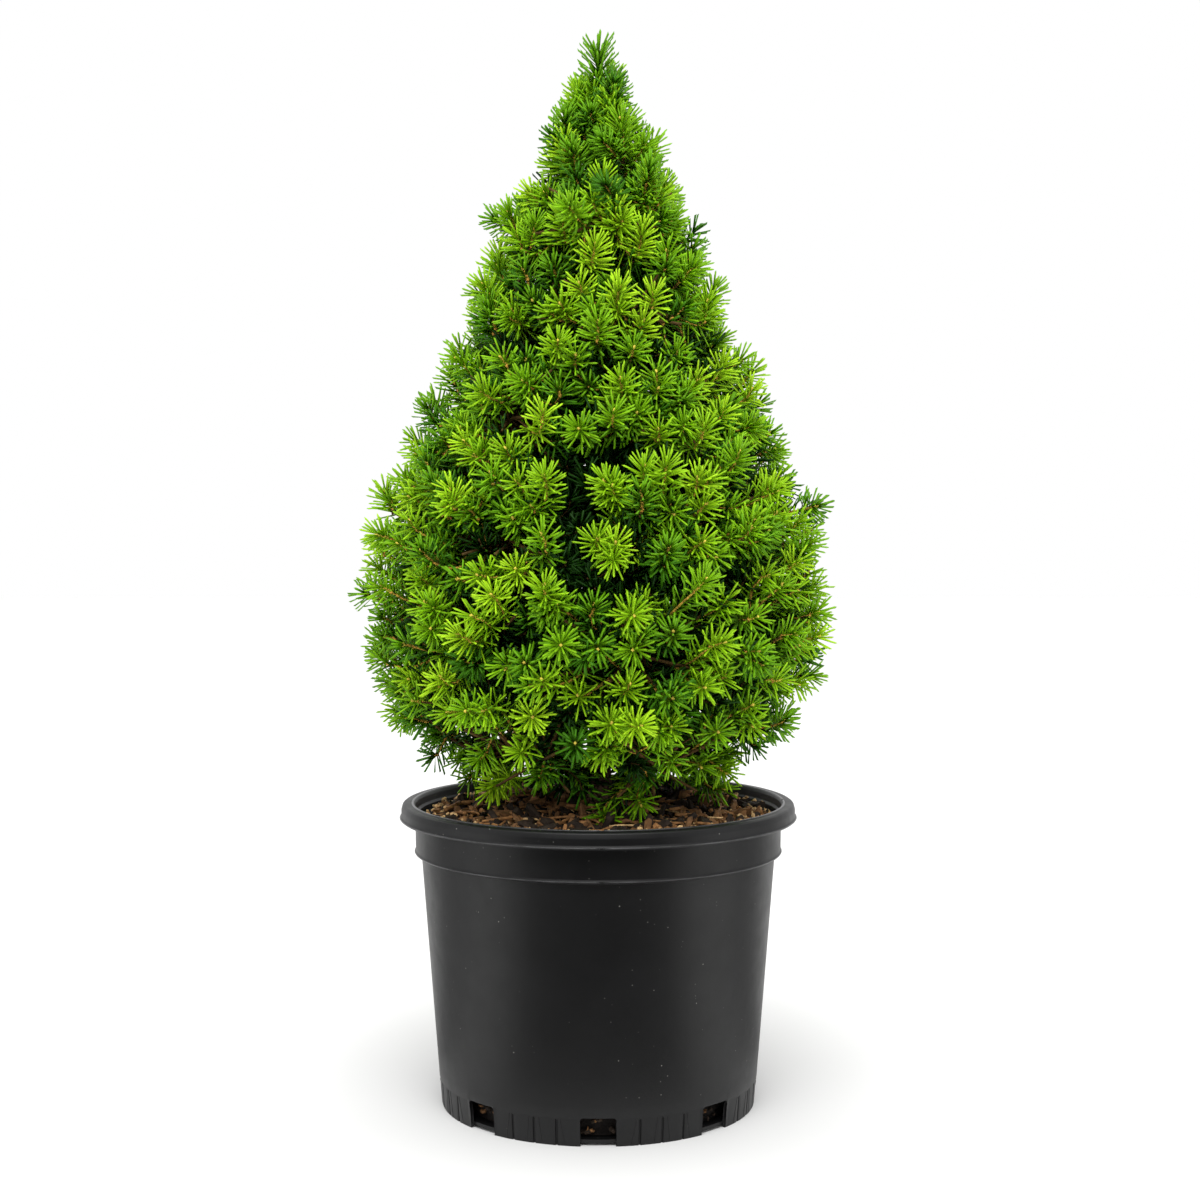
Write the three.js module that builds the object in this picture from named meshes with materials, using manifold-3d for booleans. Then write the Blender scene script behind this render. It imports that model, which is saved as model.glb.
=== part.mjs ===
// A dwarf conical spruce growing in a round nursery pot.
// Millimetres, +Z up. The origin is on the ground, in the middle of the pot's underside.
import * as THREE from "three";
import { mergeVertices } from "three/addons/utils/BufferGeometryUtils.js";
import Module from "manifold-3d";

const wasm = await Module();
wasm.setup();

// ---- Driving dimensions ----

const GAP = 0.3; // clearance between pieces that touch
const FACET_ROOM = 0.6; // more clearance between round walls whose facets don't line up

// The pot
const POT_SEGMENTS = 40;
const POT_HEIGHT = 183;
const LIP_RADIUS = 120; // at the lower edge of the rolled lip, the widest place
const LIP_TOP_RADIUS = 118.3;
const LIP_DEPTH = 9.3; // from the top of the rim to the lip's lower edge
const RIM_WIDTH = 7; // the flat on top of the rim
const BAND_RADIUS = 110.7; // the plain band under the lip
const STEP_HEIGHT = 152; // where the band steps in to the wall
const WALL_TOP_RADIUS = 107;
const BASE_RADIUS = 95;
const WALL = 1.8;
const FLOOR_BOTTOM = 1.6;
const FLOOR_TOP = 3.6;
const FOOT_WIDTH = 3.4; // the ring under the wall that the pot stands on
const DRAIN_HOLES = 8;
const DRAIN_WIDTH = 20.6;
const DRAIN_TOP = 16.6;
const GROOVES_BETWEEN_HOLES = 3;
const GROOVE_WIDTH = 1.7;
const GROOVE_DEPTH = 0.9;
const GROOVE_TOP = 15.6;

// The potting mix
const MIX_AT_WALL = 174;
const MIX_AT_TRUNK = 178.7;
const MIX_FLAT_RADIUS = 17; // level ground round the trunk
const MIX_ROUGHNESS = 1.3; // height of the lumps in the loose ground
const MIX_SEGMENTS = 28;
const MIX_RINGS = 3; // between the wall and the level ground

// The trunk
const TRUNK_FOOT = MIX_AT_TRUNK + GAP;
const TRUNK_TOP = 560;
const TRUNK_RADIUS = 7.5;
const TRUNK_TOP_RADIUS = 1.7;
const ROOT_FLARE = 4.5; // how much wider the trunk is at its foot
const ROOT_FLARE_HEIGHT = 9;
const ROOT_LOBES = 3;
const ROOT_LOBE_DEPTH = 0.12; // share of the radius that the lobes stand out
const TRUNK_SWAY = 2.2; // how far the trunk wanders off its line
const TRUNK_SIDES = 9;
const TRUNK_STEPS = 12;

// The crown's outline: height and radius of the ends of the shoots
const CROWN = [
  [186, 76],
  [215, 106],
  [245, 134],
  [300, 143],
  [355, 137],
  [400, 116],
  [440, 99],
  [480, 80],
  [520, 65],
  [555, 53],
  [600, 29],
  [644, 6],
];

// The tiers of boughs, from the lowest up. Each has the height of its lower edge at the
// crown's outside and at the trunk, and how many boughs stand round the trunk.
const TIERS = [
  { outer: 180, inner: 185, boughs: 6 },
  { outer: 256, inner: 236, boughs: 6 },
  { outer: 328, inner: 290, boughs: 5 },
  { outer: 396, inner: 350, boughs: 4 },
  { outer: 460, inner: 412, boughs: 3 },
  { outer: 516, inner: 472, boughs: 3 },
  { outer: 566, inner: 536 }, // the leader stands above this edge
];
const LEADER = TIERS.length - 1;
const TIER_WAVE = 0.06; // rise and fall of its lower edge round the crown, as a share of the radius
const GOLDEN_TURN = 0.61803398875; // turns each tier round, so that boughs don't line up

// Boughs
const BOUGH_THICKEST = 3.6;
const BOUGH_THINNEST = 1.5;
const BOUGH_TAPER = 0.62; // radius at the tip as a share of that at the foot
const BOUGH_ENDS = 0.36; // share of the crown's radius where a bough enters its foliage
const BOUGH_SAG = 0.07; // how far the middle of a bough hangs, as a share of its length
const BOUGH_SIDES = 5;
const BOUGH_STEPS = 3;

// Foliage: a stem goes on from the bough, and twigs branch from it. Each ends in a spray.
const STEM_TAPER = 0.75;
const STEM_ENDS = 0.62; // share of the crown's radius
const TWIG_SPACING = 36; // between the ends of neighbouring twigs
const TWIG_JITTER = 0.3;
const CORE_STARTS = 0.42; // share of the crown's radius
const CORE_FILLS = 0.96; // share of its space that a core takes across and upwards
const CORE_SQUARE = 8; // 2 is an ellipsoid, and higher is squarer
const SPRAY_DEPTH = 16; // how far a core lies inside the crown's outline, on a thin crown
const SPRAY_DEPTH_GROWS = 0.05; // and how much more for each millimetre of the crown's radius
const NEEDLE_LENGTH = 16;
const SPRAY_RADIUS = 2.7; // the slim core that the needles stand out of
const SPRAY_SIDES = 3;
const SPRAY_RINGS = [11.2, 4.2]; // how far its two rings lie behind its end
const NEEDLE_LEANS = [0.4, 0.65, 1.1]; // how far needles lean forward, in radians, foot to end
const NEEDLE_LEAN_VARIES = 0.15;
const NEEDLE_CHECKS = [0.35, 0.7, 1]; // where along a needle its room is tested
const CLEAR = 0.45; // how near foliage comes to the edge of its space or to a limb

// The leader, at the top of the trunk
const LEADER_RADIUS = 1.9;
const LEADER_WHORLS = [
  { foot: 564, top: 577, twigs: 6 },
  { foot: 576, top: 593, twigs: 5 },
  { foot: 590, top: 609, twigs: 4 },
  { foot: 604, top: 625, twigs: 3 },
];

// ---- Small tools ----

// A seeded generator, so that the tree grows the same way each time.
function seeded(seed) {
  let state = seed >>> 0;
  return () => {
    state = (state + 0x6d2b79f5) >>> 0;
    let t = Math.imul(state ^ (state >>> 15), 1 | state);
    t = (t + Math.imul(t ^ (t >>> 7), 61 | t)) ^ t;
    return ((t ^ (t >>> 14)) >>> 0) / 4294967296;
  };
}

const { lerp, clamp } = THREE.MathUtils;
const TURN = 2 * Math.PI;

// A closed three.js geometry as a solid that can be joined and cut.
function solidOf(geometry) {
  const bare = geometry.index ? geometry.toNonIndexed() : geometry.clone();
  bare.deleteAttribute("normal");
  bare.deleteAttribute("uv");
  const merged = mergeVertices(bare, 1e-4);
  return new wasm.Manifold(
    new wasm.Mesh({
      numProp: 3,
      vertProperties: merged.attributes.position.array,
      triVerts: new Uint32Array(merged.index.array),
    }),
  );
}

// The solid's largest body as a geometry. Scraps are dropped and sealed hollows are filled.
function geometryOf(solid) {
  const bodies = solid.decompose();
  const largest = bodies.reduce((a, b) => (b.volume() > a.volume() ? b : a));
  const { vertProperties, triVerts } = largest.getMesh();
  return new THREE.BufferGeometry()
    .setAttribute("position", new THREE.BufferAttribute(vertProperties, 3))
    .setIndex(new THREE.BufferAttribute(triVerts, 1));
}

function joined(solids) {
  return solids.reduce((whole, piece) => whole.add(piece));
}

// A solid of revolution about Z from [radius, height] points that start and end on the axis.
function turned(profile, segments) {
  const points = profile.map(([r, z]) => new THREE.Vector2(r, z));
  return new THREE.LatheGeometry(points, segments).rotateX(Math.PI / 2);
}

// A round limb along a curve. Its radius is a function of the share of its length.
function limb(curve, radiusAt, sides, steps) {
  const shape = new THREE.CylinderGeometry(1, 1, 1, sides, steps);
  const at = shape.attributes.position;
  const along = curve.getTangent(0.5);
  const across = new THREE.Vector3().crossVectors(along, sideways(along)).normalize();
  for (let i = 0; i < at.count; i++) {
    const t = at.getY(i) + 0.5;
    const tangent = curve.getTangent(t);
    const e1 = new THREE.Vector3().crossVectors(across, tangent).normalize();
    const e2 = new THREE.Vector3().crossVectors(tangent, e1);
    const angle = Math.atan2(at.getX(i), at.getZ(i));
    const radius = Math.hypot(at.getX(i), at.getZ(i)) * radiusAt(t, angle);
    const point = curve
      .getPoint(t)
      .addScaledVector(e1, at.getZ(i) && radius * Math.cos(angle))
      .addScaledVector(e2, at.getX(i) && radius * Math.sin(angle));
    at.setXYZ(i, point.x, point.y, point.z);
  }
  return shape;
}

// Any direction that is well away from the one given.
function sideways(direction) {
  return Math.abs(direction.z) < 0.7 ? new THREE.Vector3(0, 0, 1) : new THREE.Vector3(1, 0, 0);
}

// ---- The pot and what fills it ----

function innerWallRadius(z) {
  if (z > STEP_HEIGHT + 4) return BAND_RADIUS - WALL;
  return lerp(BASE_RADIUS, WALL_TOP_RADIUS, clamp(z / STEP_HEIGHT, 0, 1)) - WALL;
}

function potBlank() {
  const lipBottom = POT_HEIGHT - LIP_DEPTH;
  const rimInside = LIP_TOP_RADIUS - RIM_WIDTH;
  return solidOf(
    turned(
      [
        [0, FLOOR_BOTTOM],
        [BASE_RADIUS - FOOT_WIDTH, FLOOR_BOTTOM],
        [BASE_RADIUS - FOOT_WIDTH, 0],
        [BASE_RADIUS, 0],
        [WALL_TOP_RADIUS, STEP_HEIGHT],
        [BAND_RADIUS - 0.6, STEP_HEIGHT + 4],
        [BAND_RADIUS, lipBottom - 2],
        [LIP_RADIUS, lipBottom],
        [LIP_TOP_RADIUS, POT_HEIGHT - 0.8],
        [LIP_TOP_RADIUS - 0.9, POT_HEIGHT],
        [rimInside, POT_HEIGHT],
        [rimInside - 0.6, POT_HEIGHT - 1],
        [BAND_RADIUS - WALL, STEP_HEIGHT + 5],
        [WALL_TOP_RADIUS - WALL, STEP_HEIGHT],
        [innerWallRadius(FLOOR_TOP), FLOOR_TOP],
        [0, FLOOR_TOP],
      ],
      POT_SEGMENTS,
    ),
  );
}

// A drainage hole goes through the wall above the floor, and through the foot below it.
function drainCutters() {
  const deep = FOOT_WIDTH + 6;
  const upper = new THREE.BoxGeometry(deep, DRAIN_WIDTH, DRAIN_TOP - FLOOR_TOP);
  upper.translate(BASE_RADIUS, 0, (DRAIN_TOP + FLOOR_TOP) / 2);
  const lower = new THREE.BoxGeometry(deep, DRAIN_WIDTH, 2 * FLOOR_BOTTOM);
  lower.translate(BASE_RADIUS, 0, 0);
  return [upper, lower];
}

// A groove is an upright notch with a sharp bottom, cut into the outside of the wall.
function grooveCutter(angle) {
  const notch = new THREE.Shape();
  notch.moveTo(BASE_RADIUS - GROOVE_DEPTH, 0);
  notch.lineTo(BASE_RADIUS + 4, -2.5 * GROOVE_WIDTH);
  notch.lineTo(BASE_RADIUS + 4, 2.5 * GROOVE_WIDTH);
  notch.closePath();
  return new THREE.ExtrudeGeometry(notch, { depth: GROOVE_TOP + 1, bevelEnabled: false })
    .translate(0, 0, -1)
    .rotateZ(angle);
}

function pot() {
  let solid = potBlank();
  const sector = TURN / DRAIN_HOLES;
  const holeAngle = DRAIN_WIDTH / BASE_RADIUS;
  const panel = (sector - holeAngle) / (GROOVES_BETWEEN_HOLES + 1);
  for (let hole = 0; hole < DRAIN_HOLES; hole++) {
    const middle = hole * sector - Math.PI / 2;
    for (const cutter of drainCutters()) {
      solid = solid.subtract(solidOf(cutter.rotateZ(middle)));
    }
    for (let n = 1; n <= GROOVES_BETWEEN_HOLES; n++) {
      solid = solid.subtract(solidOf(grooveCutter(middle + holeAngle / 2 + n * panel)));
    }
  }
  return geometryOf(solid);
}

function pottingMix() {
  const bottom = FLOOR_TOP + GAP;
  const profile = [
    [0, bottom],
    [innerWallRadius(bottom) - GAP, bottom],
    [WALL_TOP_RADIUS - WALL - GAP - FACET_ROOM, STEP_HEIGHT - 1],
    [BAND_RADIUS - WALL - GAP - FACET_ROOM, STEP_HEIGHT + 8],
    [BAND_RADIUS - WALL - GAP - FACET_ROOM, MIX_AT_WALL],
  ];
  for (let n = 1; n <= MIX_RINGS; n++) {
    const share = n / (MIX_RINGS + 1);
    profile.push([
      lerp(BAND_RADIUS - 4, MIX_FLAT_RADIUS, share),
      lerp(MIX_AT_WALL, MIX_AT_TRUNK, Math.sin((share * Math.PI) / 2)),
    ]);
  }
  profile.push([MIX_FLAT_RADIUS, MIX_AT_TRUNK], [0, MIX_AT_TRUNK]);
  const shape = turned(profile, MIX_SEGMENTS);
  const at = shape.attributes.position;
  for (let i = 0; i < at.count; i++) {
    const [x, y, z] = [at.getX(i), at.getY(i), at.getZ(i)];
    const loose = z > MIX_AT_WALL + 0.5 && Math.hypot(x, y) > MIX_FLAT_RADIUS + 1;
    // two slanted waves cross, and give lumps about 20 mm across
    const lump = Math.sin(x * 0.31 + y * 0.17) * Math.cos(y * 0.29 - x * 0.11);
    if (loose) at.setZ(i, z + lump * MIX_ROUGHNESS);
  }
  return shape;
}

// ---- The trunk and its boughs ----

// The middle of the trunk at a height.
function trunkAt(z) {
  const t = (z - TRUNK_FOOT) / (TRUNK_TOP - TRUNK_FOOT);
  const fade = Math.sin(clamp(t, 0, 1) * Math.PI);
  return new THREE.Vector3(
    TRUNK_SWAY * fade * Math.sin(t * 7.3 + 0.6),
    TRUNK_SWAY * fade * Math.cos(t * 5.9 + 0.2),
    z,
  );
}

function trunkRadius(z) {
  const t = clamp((z - TRUNK_FOOT) / (TRUNK_TOP - TRUNK_FOOT), 0, 1);
  const flare = ROOT_FLARE * Math.exp((TRUNK_FOOT - z) / ROOT_FLARE_HEIGHT);
  return lerp(TRUNK_RADIUS, TRUNK_TOP_RADIUS, t ** 0.85) + flare;
}

function trunk() {
  const shape = new THREE.CylinderGeometry(1, 1, 1, TRUNK_SIDES, TRUNK_STEPS).rotateX(Math.PI / 2);
  const at = shape.attributes.position;
  for (let i = 0; i < at.count; i++) {
    const t = clamp(at.getZ(i) + 0.5, 0, 1) ** 1.5; // closer rings near the flare
    const z = lerp(TRUNK_FOOT, TRUNK_TOP, t);
    const middle = trunkAt(z);
    const angle = Math.atan2(at.getY(i), at.getX(i));
    const lobe = ROOT_LOBE_DEPTH * (1 - t) ** 12; // the lobes fade out above the flare
    const radius = trunkRadius(z) * (1 + lobe * Math.sin(ROOT_LOBES * angle));
    at.setXYZ(i, middle.x + at.getX(i) * radius, middle.y + at.getY(i) * radius, z);
  }
  return shape;
}

// The crown's radius at a height.
function crownRadius(z) {
  const last = CROWN.length - 1;
  if (z <= CROWN[0][0]) return CROWN[0][1];
  if (z >= CROWN[last][0]) return CROWN[last][1];
  const upper = CROWN.findIndex(([height]) => height >= z);
  const [z0, r0] = CROWN[upper - 1];
  const [z1, r1] = CROWN[upper];
  return lerp(r0, r1, (z - z0) / (z1 - z0));
}

// The height of the wavy cone under a tier, at an angle and a distance from the trunk's line.
function edgeHeight(tier, angle, r) {
  const { outer, inner } = TIERS[tier];
  const wave = tier > 0 && tier < LEADER ? TIER_WAVE * Math.sin(3 * angle + 2.1 * tier) : 0;
  return inner + ((outer - inner) / crownRadius(outer) + wave) * r;
}

// The space of each bough and its foliage: a sector of a tier.
function spaces() {
  const all = [];
  TIERS.slice(0, LEADER).forEach(({ boughs }, tier) => {
    for (let n = 0; n < boughs; n++) {
      all.push({
        tier,
        number: n + 1,
        middle: TURN * (GOLDEN_TURN * tier + n / boughs),
        half: Math.PI / boughs,
        random: seeded(1000 * (tier + 1) + n),
      });
    }
  });
  return all;
}

// A point in a space: across and up from -1 to 1, at a distance from the trunk's line.
function pointIn(space, across, up, r) {
  const angle = space.middle + across * space.half;
  const low = edgeHeight(space.tier, angle, r);
  const high = edgeHeight(space.tier + 1, angle, r);
  const z = lerp(low, high, (up + 1) / 2);
  return new THREE.Vector3(r * Math.cos(angle), r * Math.sin(angle), z);
}

// The middle height of a space at the crown's outside, and the crown's radius there.
function reachOf(space) {
  const z = (TIERS[space.tier].outer + TIERS[space.tier + 1].outer) / 2;
  return crownRadius(z);
}

// The line of a bough, from the trunk's bark to where its foliage begins.
function boughCurve(space) {
  const rise = lerp(-0.35, 0.3, space.random());
  const drift = lerp(-0.12, 0.12, space.random());
  const tip = pointIn(space, drift, 0, BOUGH_ENDS * reachOf(space));
  const foot = trunkAt(pointIn(space, 0, rise, 0).z);
  const outward = new THREE.Vector3(tip.x - foot.x, tip.y - foot.y, 0).normalize();
  const middle = foot.clone().lerp(tip, 0.5);
  middle.z -= BOUGH_SAG * foot.distanceTo(tip);
  const slope = Math.abs(middle.z - foot.z) / middle.distanceTo(foot);
  foot.addScaledVector(outward, trunkRadius(foot.z) + GAP + boughRadius(space) * slope);
  return new THREE.QuadraticBezierCurve3(foot, middle, tip);
}

function boughRadius(space) {
  return lerp(BOUGH_THICKEST, BOUGH_THINNEST, space.tier / (LEADER - 1));
}

function bough(space) {
  const foot = boughRadius(space);
  const radiusAt = (t) => foot * lerp(1, BOUGH_TAPER, t);
  return limb(space.curve, radiusAt, BOUGH_SIDES, BOUGH_STEPS);
}

// ---- Foliage ----

function distanceToBough(space, point) {
  let nearest = Infinity;
  const steps = 6;
  for (let n = 0; n <= steps; n++) {
    nearest = Math.min(nearest, point.distanceTo(space.curve.getPoint(n / steps)));
  }
  return nearest;
}

// True if a point lies in its own space, clear of the pot's rim, the trunk and the bough.
function fits(space, point) {
  const r = Math.hypot(point.x, point.y);
  const angle = Math.atan2(point.y, point.x);
  const middle = trunkAt(point.z);
  const fromTrunk = Math.hypot(point.x - middle.x, point.y - middle.y);
  if (point.z < POT_HEIGHT + 2 && r > LIP_TOP_RADIUS - RIM_WIDTH - 4) return false;
  if (point.z < TRUNK_TOP + CLEAR && fromTrunk < trunkRadius(point.z) + 2 * CLEAR) return false;
  if (point.z < edgeHeight(space.tier, angle, r) + 1.3 * CLEAR) return false;
  if (space.tier === LEADER) return true;
  if (point.z > edgeHeight(space.tier + 1, angle, r) - 1.3 * CLEAR) return false;
  const turn = angle - space.middle;
  const away = Math.abs(Math.atan2(Math.sin(turn), Math.cos(turn)));
  if (away > space.half || r * Math.sin(Math.min(space.half - away, Math.PI / 2)) < CLEAR) return false;
  return distanceToBough(space, point) > boughRadius(space) + CLEAR;
}

// The dense, twiggy inside of a mass, shaped to its space.
function core(space) {
  const shape = new THREE.SphereGeometry(1, 8, 4).rotateZ(-Math.PI / 2);
  const at = shape.attributes.position;
  const inside = CORE_STARTS * reachOf(space);
  for (let i = 0; i < at.count; i++) {
    const unit = [at.getX(i), at.getY(i), at.getZ(i)];
    const size = unit.reduce((sum, c) => sum + Math.abs(c) ** CORE_SQUARE, 0) ** (1 / CORE_SQUARE);
    const [out, across, up] = unit.map((c) => c / size);
    const r = lerp(inside, coreReach(space, up), (out + 1) / 2);
    const point = pointIn(space, across * CORE_FILLS, up * CORE_FILLS, r);
    at.setXYZ(i, point.x, point.y, point.z);
  }
  return shape;
}

// How far out a core comes, at a share of the way up its space.
function coreReach(space, up) {
  const outline = outlineOf(space, up);
  return outline - SPRAY_DEPTH - SPRAY_DEPTH_GROWS * outline;
}

function outlineOf(space, up) {
  return crownRadius(lerp(TIERS[space.tier].outer, TIERS[space.tier + 1].outer, (up + 1) / 2));
}

// A twig from a stem that ends in a spray: a slim core, each face of which is drawn out into a
// needle. A needle that doesn't fit its space is left out, and so is a twig whose end doesn't.
function spray(space, root, tip, needle) {
  const along = tip.clone().sub(root).normalize();
  const across = new THREE.Vector3().crossVectors(along, sideways(along)).normalize();
  const upward = new THREE.Vector3().crossVectors(along, across);
  const end = tip.clone().addScaledVector(along, -0.75 * needle);
  const turnedBy = space.random() * TURN;
  const ring = (back, offset) =>
    Array.from({ length: SPRAY_SIDES }, (_, n) => {
      const angle = turnedBy + ((n + offset) / SPRAY_SIDES) * TURN;
      return end
        .clone()
        .addScaledVector(along, -back)
        .addScaledVector(across, SPRAY_RADIUS * Math.cos(angle))
        .addScaledVector(upward, SPRAY_RADIUS * Math.sin(angle));
    });
  const lower = ring(SPRAY_RINGS[0], 0);
  const upper = ring(SPRAY_RINGS[1], 0.5);
  if (![end, ...lower, ...upper].every((point) => fits(space, point))) return null;

  const triangles = [];
  const drawnOut = (a, b, c, lean) => {
    const middle = a.clone().add(b).add(c).divideScalar(3);
    const out = middle.clone().sub(end);
    out.addScaledVector(along, -out.dot(along)).normalize();
    const forward = lean + NEEDLE_LEAN_VARIES * lerp(-1, 1, space.random());
    const apex = middle
      .clone()
      .addScaledVector(out, needle * Math.cos(forward))
      .addScaledVector(along, needle * Math.sin(forward));
    const free = NEEDLE_CHECKS.every((t) => fits(space, middle.clone().lerp(apex, t)));
    if (free) triangles.push([a, b, apex], [b, c, apex], [c, a, apex]);
    else triangles.push([a, b, c]);
  };
  for (let n = 0; n < SPRAY_SIDES; n++) {
    const next = (n + 1) % SPRAY_SIDES;
    triangles.push([root, lower[next], lower[n]]);
    drawnOut(lower[n], lower[next], upper[n], NEEDLE_LEANS[0]);
    drawnOut(lower[next], upper[next], upper[n], NEEDLE_LEANS[1]);
    drawnOut(upper[n], upper[next], end, NEEDLE_LEANS[2]);
  }
  const points = triangles.flat().flatMap((v) => [v.x, v.y, v.z]);
  const shape = new THREE.BufferGeometry();
  return shape.setAttribute("position", new THREE.Float32BufferAttribute(points, 3));
}

// Where the twigs of a space end: rows that follow the crown's outline, evenly spread.
function twigEnds(space) {
  const rise = TIERS[space.tier + 1].outer - TIERS[space.tier].outer;
  const rows = Math.max(2, Math.round(rise / TWIG_SPACING));
  const ends = [];
  for (let row = 0; row < rows; row++) {
    const up = (2 * (row + 0.5)) / rows - 1;
    const width = 2 * space.half * outlineOf(space, up);
    const columns = Math.max(2, Math.round(width / TWIG_SPACING));
    for (let column = 0; column < columns; column++) {
      const stagger = row % 2 ? 0.6 : 0.4;
      const jitter = () => TWIG_JITTER * (space.random() - 0.5);
      ends.push({
        across: (2 * (column + stagger + jitter())) / columns - 1,
        up: up + jitter() / rows,
        out: lerp(0.95, 1.02, space.random()),
      });
    }
  }
  return ends;
}

function foliage(space) {
  const foot = space.curve.getPoint(1);
  const along = space.curve.getTangent(1);
  foot.addScaledVector(along, GAP);
  const tip = pointIn(space, 0, 0, STEM_ENDS * reachOf(space));
  const bend = foot.clone().addScaledVector(along, 0.4 * foot.distanceTo(tip));
  const line = new THREE.QuadraticBezierCurve3(foot, bend, tip);
  const stemRadius = boughRadius(space) * BOUGH_TAPER;
  const stem = limb(line, (t) => stemRadius * lerp(1, STEM_TAPER, t), 4, 2);
  const pieces = [core(space), stem];
  for (const { across, up, out } of twigEnds(space)) {
    const root = line.getPoint(lerp(0.45, 0.95, space.random()));
    const end = pointIn(space, across, up, outlineOf(space, up) * out);
    const shape = spray(space, root, end, NEEDLE_LENGTH * lerp(0.85, 1.1, space.random()));
    if (shape) pieces.push(shape);
  }
  return geometryOf(joined(pieces.map(solidOf)));
}

function leader() {
  const space = { tier: LEADER, random: seeded(7000) };
  const foot = trunkAt(TRUNK_TOP).add(new THREE.Vector3(0, 0, GAP));
  const [topHeight, topRadius] = CROWN[CROWN.length - 1];
  const tip = new THREE.Vector3(0, 0, topHeight - NEEDLE_LENGTH);
  const line = new THREE.LineCurve3(foot, tip);
  const pieces = [
    limb(line, (t) => LEADER_RADIUS * lerp(1, STEM_TAPER, t), 4, 1),
    spray(space, line.getPoint(0.6), new THREE.Vector3(0, 0, topHeight), NEEDLE_LENGTH),
  ];
  for (const { foot: low, top, twigs } of LEADER_WHORLS) {
    for (let n = 0; n < twigs; n++) {
      const angle = (TURN * (n + 0.5 * space.random())) / twigs;
      const root = line.getPoint((low - foot.z) / (tip.z - foot.z));
      const reach = crownRadius(top);
      const end = new THREE.Vector3(reach * Math.cos(angle), reach * Math.sin(angle), top);
      const shape = spray(space, root, end, NEEDLE_LENGTH * 0.8);
      if (shape) pieces.push(shape);
    }
  }
  return geometryOf(joined(pieces.map(solidOf)));
}

// ---- The whole plant ----

const plant = new THREE.Group();

function add(name, geometry, material) {
  const mesh = new THREE.Mesh(geometry, material);
  mesh.name = name;
  plant.add(mesh);
}

const black = new THREE.MeshStandardMaterial({ color: 0x2a2b2d, roughness: 0.5 });
const mix = new THREE.MeshStandardMaterial({ color: 0x4a3222, roughness: 0.95 });
const bark = new THREE.MeshStandardMaterial({ color: 0x5a4030, roughness: 0.9 });
const needles = new THREE.MeshStandardMaterial({ color: 0x5f9a1e, roughness: 0.6 });

add("pot", pot(), black);
add("potting_mix", pottingMix(), mix);
add("trunk", trunk(), bark);
for (const space of spaces()) {
  const place = `${space.tier + 1}_${space.number}`;
  space.curve = boughCurve(space);
  add(`bough_${place}`, bough(space), bark);
  add(`foliage_${place}`, foliage(space), needles);
}
add("foliage_leader", leader(), needles);

export default plant;
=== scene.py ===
"""A dwarf alberta spruce in a black nursery pot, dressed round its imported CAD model."""

import functools
import math

import bpy
import numpy as np
from bpy.props import FloatProperty, FloatVectorProperty, IntProperty, PointerProperty
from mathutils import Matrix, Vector, noise


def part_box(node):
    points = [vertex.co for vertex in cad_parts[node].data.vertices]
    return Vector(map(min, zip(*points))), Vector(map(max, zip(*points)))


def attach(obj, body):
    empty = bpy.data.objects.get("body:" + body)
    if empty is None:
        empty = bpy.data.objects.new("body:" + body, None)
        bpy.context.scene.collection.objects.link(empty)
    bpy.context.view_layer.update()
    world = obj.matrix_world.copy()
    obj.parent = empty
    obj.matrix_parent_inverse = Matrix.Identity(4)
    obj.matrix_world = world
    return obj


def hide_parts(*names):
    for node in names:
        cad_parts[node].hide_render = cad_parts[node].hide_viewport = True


bl_info = {
    "name": "Potted Dwarf Alberta Spruce",
    "version": (1, 0, 0),
    "blender": (4, 5, 0),
    "location": "View3D > Sidebar > Spruce",
    "description": "Grows needles, twigs and bark on the spruce's frame, and finishes its pot",
    "category": "Object",
}

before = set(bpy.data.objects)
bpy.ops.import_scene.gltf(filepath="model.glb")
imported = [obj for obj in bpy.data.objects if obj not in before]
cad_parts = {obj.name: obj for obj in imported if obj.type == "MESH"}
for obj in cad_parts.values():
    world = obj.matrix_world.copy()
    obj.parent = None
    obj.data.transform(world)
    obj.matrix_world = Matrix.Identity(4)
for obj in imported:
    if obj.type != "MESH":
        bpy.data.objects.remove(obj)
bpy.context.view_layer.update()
MM = 0.001  # the frame is in metres, and every size below is in millimetres
TURN = 2 * math.pi

# ---- The plant's plan, the same as the frame's ----

BOUGHS = [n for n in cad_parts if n.startswith("bough_")]
MASSES = [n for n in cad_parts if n.startswith("foliage_")]
POT_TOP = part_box("pot")[1].z / MM
LIP_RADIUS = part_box("pot")[1].x / MM
CROWN_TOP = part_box("foliage_leader")[1].z / MM
GAP = 0.3  # clearance between pieces that touch

TRUNK_FOOT, TRUNK_TOP = ((corner / MM).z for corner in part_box("trunk"))
TRUNK_RADIUS = 7.5
TRUNK_TOP_RADIUS = 1.7
ROOT_FLARE = 4.5
ROOT_FLARE_HEIGHT = 9
TRUNK_SWAY = 2.2

# Height and radius of the ends of the shoots.
CROWN = [
    (186, 76), (215, 106), (245, 134), (300, 143), (355, 137), (400, 116),
    (440, 99), (480, 80), (520, 65), (555, 53), (600, 29), (644, 6),
]  # fmt: skip
# Height of a tier's lower edge outside and at the trunk, and its number of boughs.
TIERS = [
    (180, 185, 6),
    (256, 236, 6),
    (328, 290, 5),
    (396, 350, 4),
    (460, 412, 3),
    (516, 472, 3),
    (566, 536, 0),
]
LEADER = len(TIERS) - 1
TIER_WAVE = 0.06
GOLDEN_TURN = 0.61803398875

BOUGH_THICKEST = 3.6
BOUGH_THINNEST = 1.5
BOUGH_TAPER = 0.62
BOUGH_ENDS = 0.36  # share of the crown's radius where a bough enters its mass
BOUGH_SAG = 0.07
STEM_TAPER = 0.75
STEM_ENDS = 0.62  # share of the crown's radius where a mass's stem ends
TWIG_SPACING = 36
TWIG_JITTER = 0.3


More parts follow.
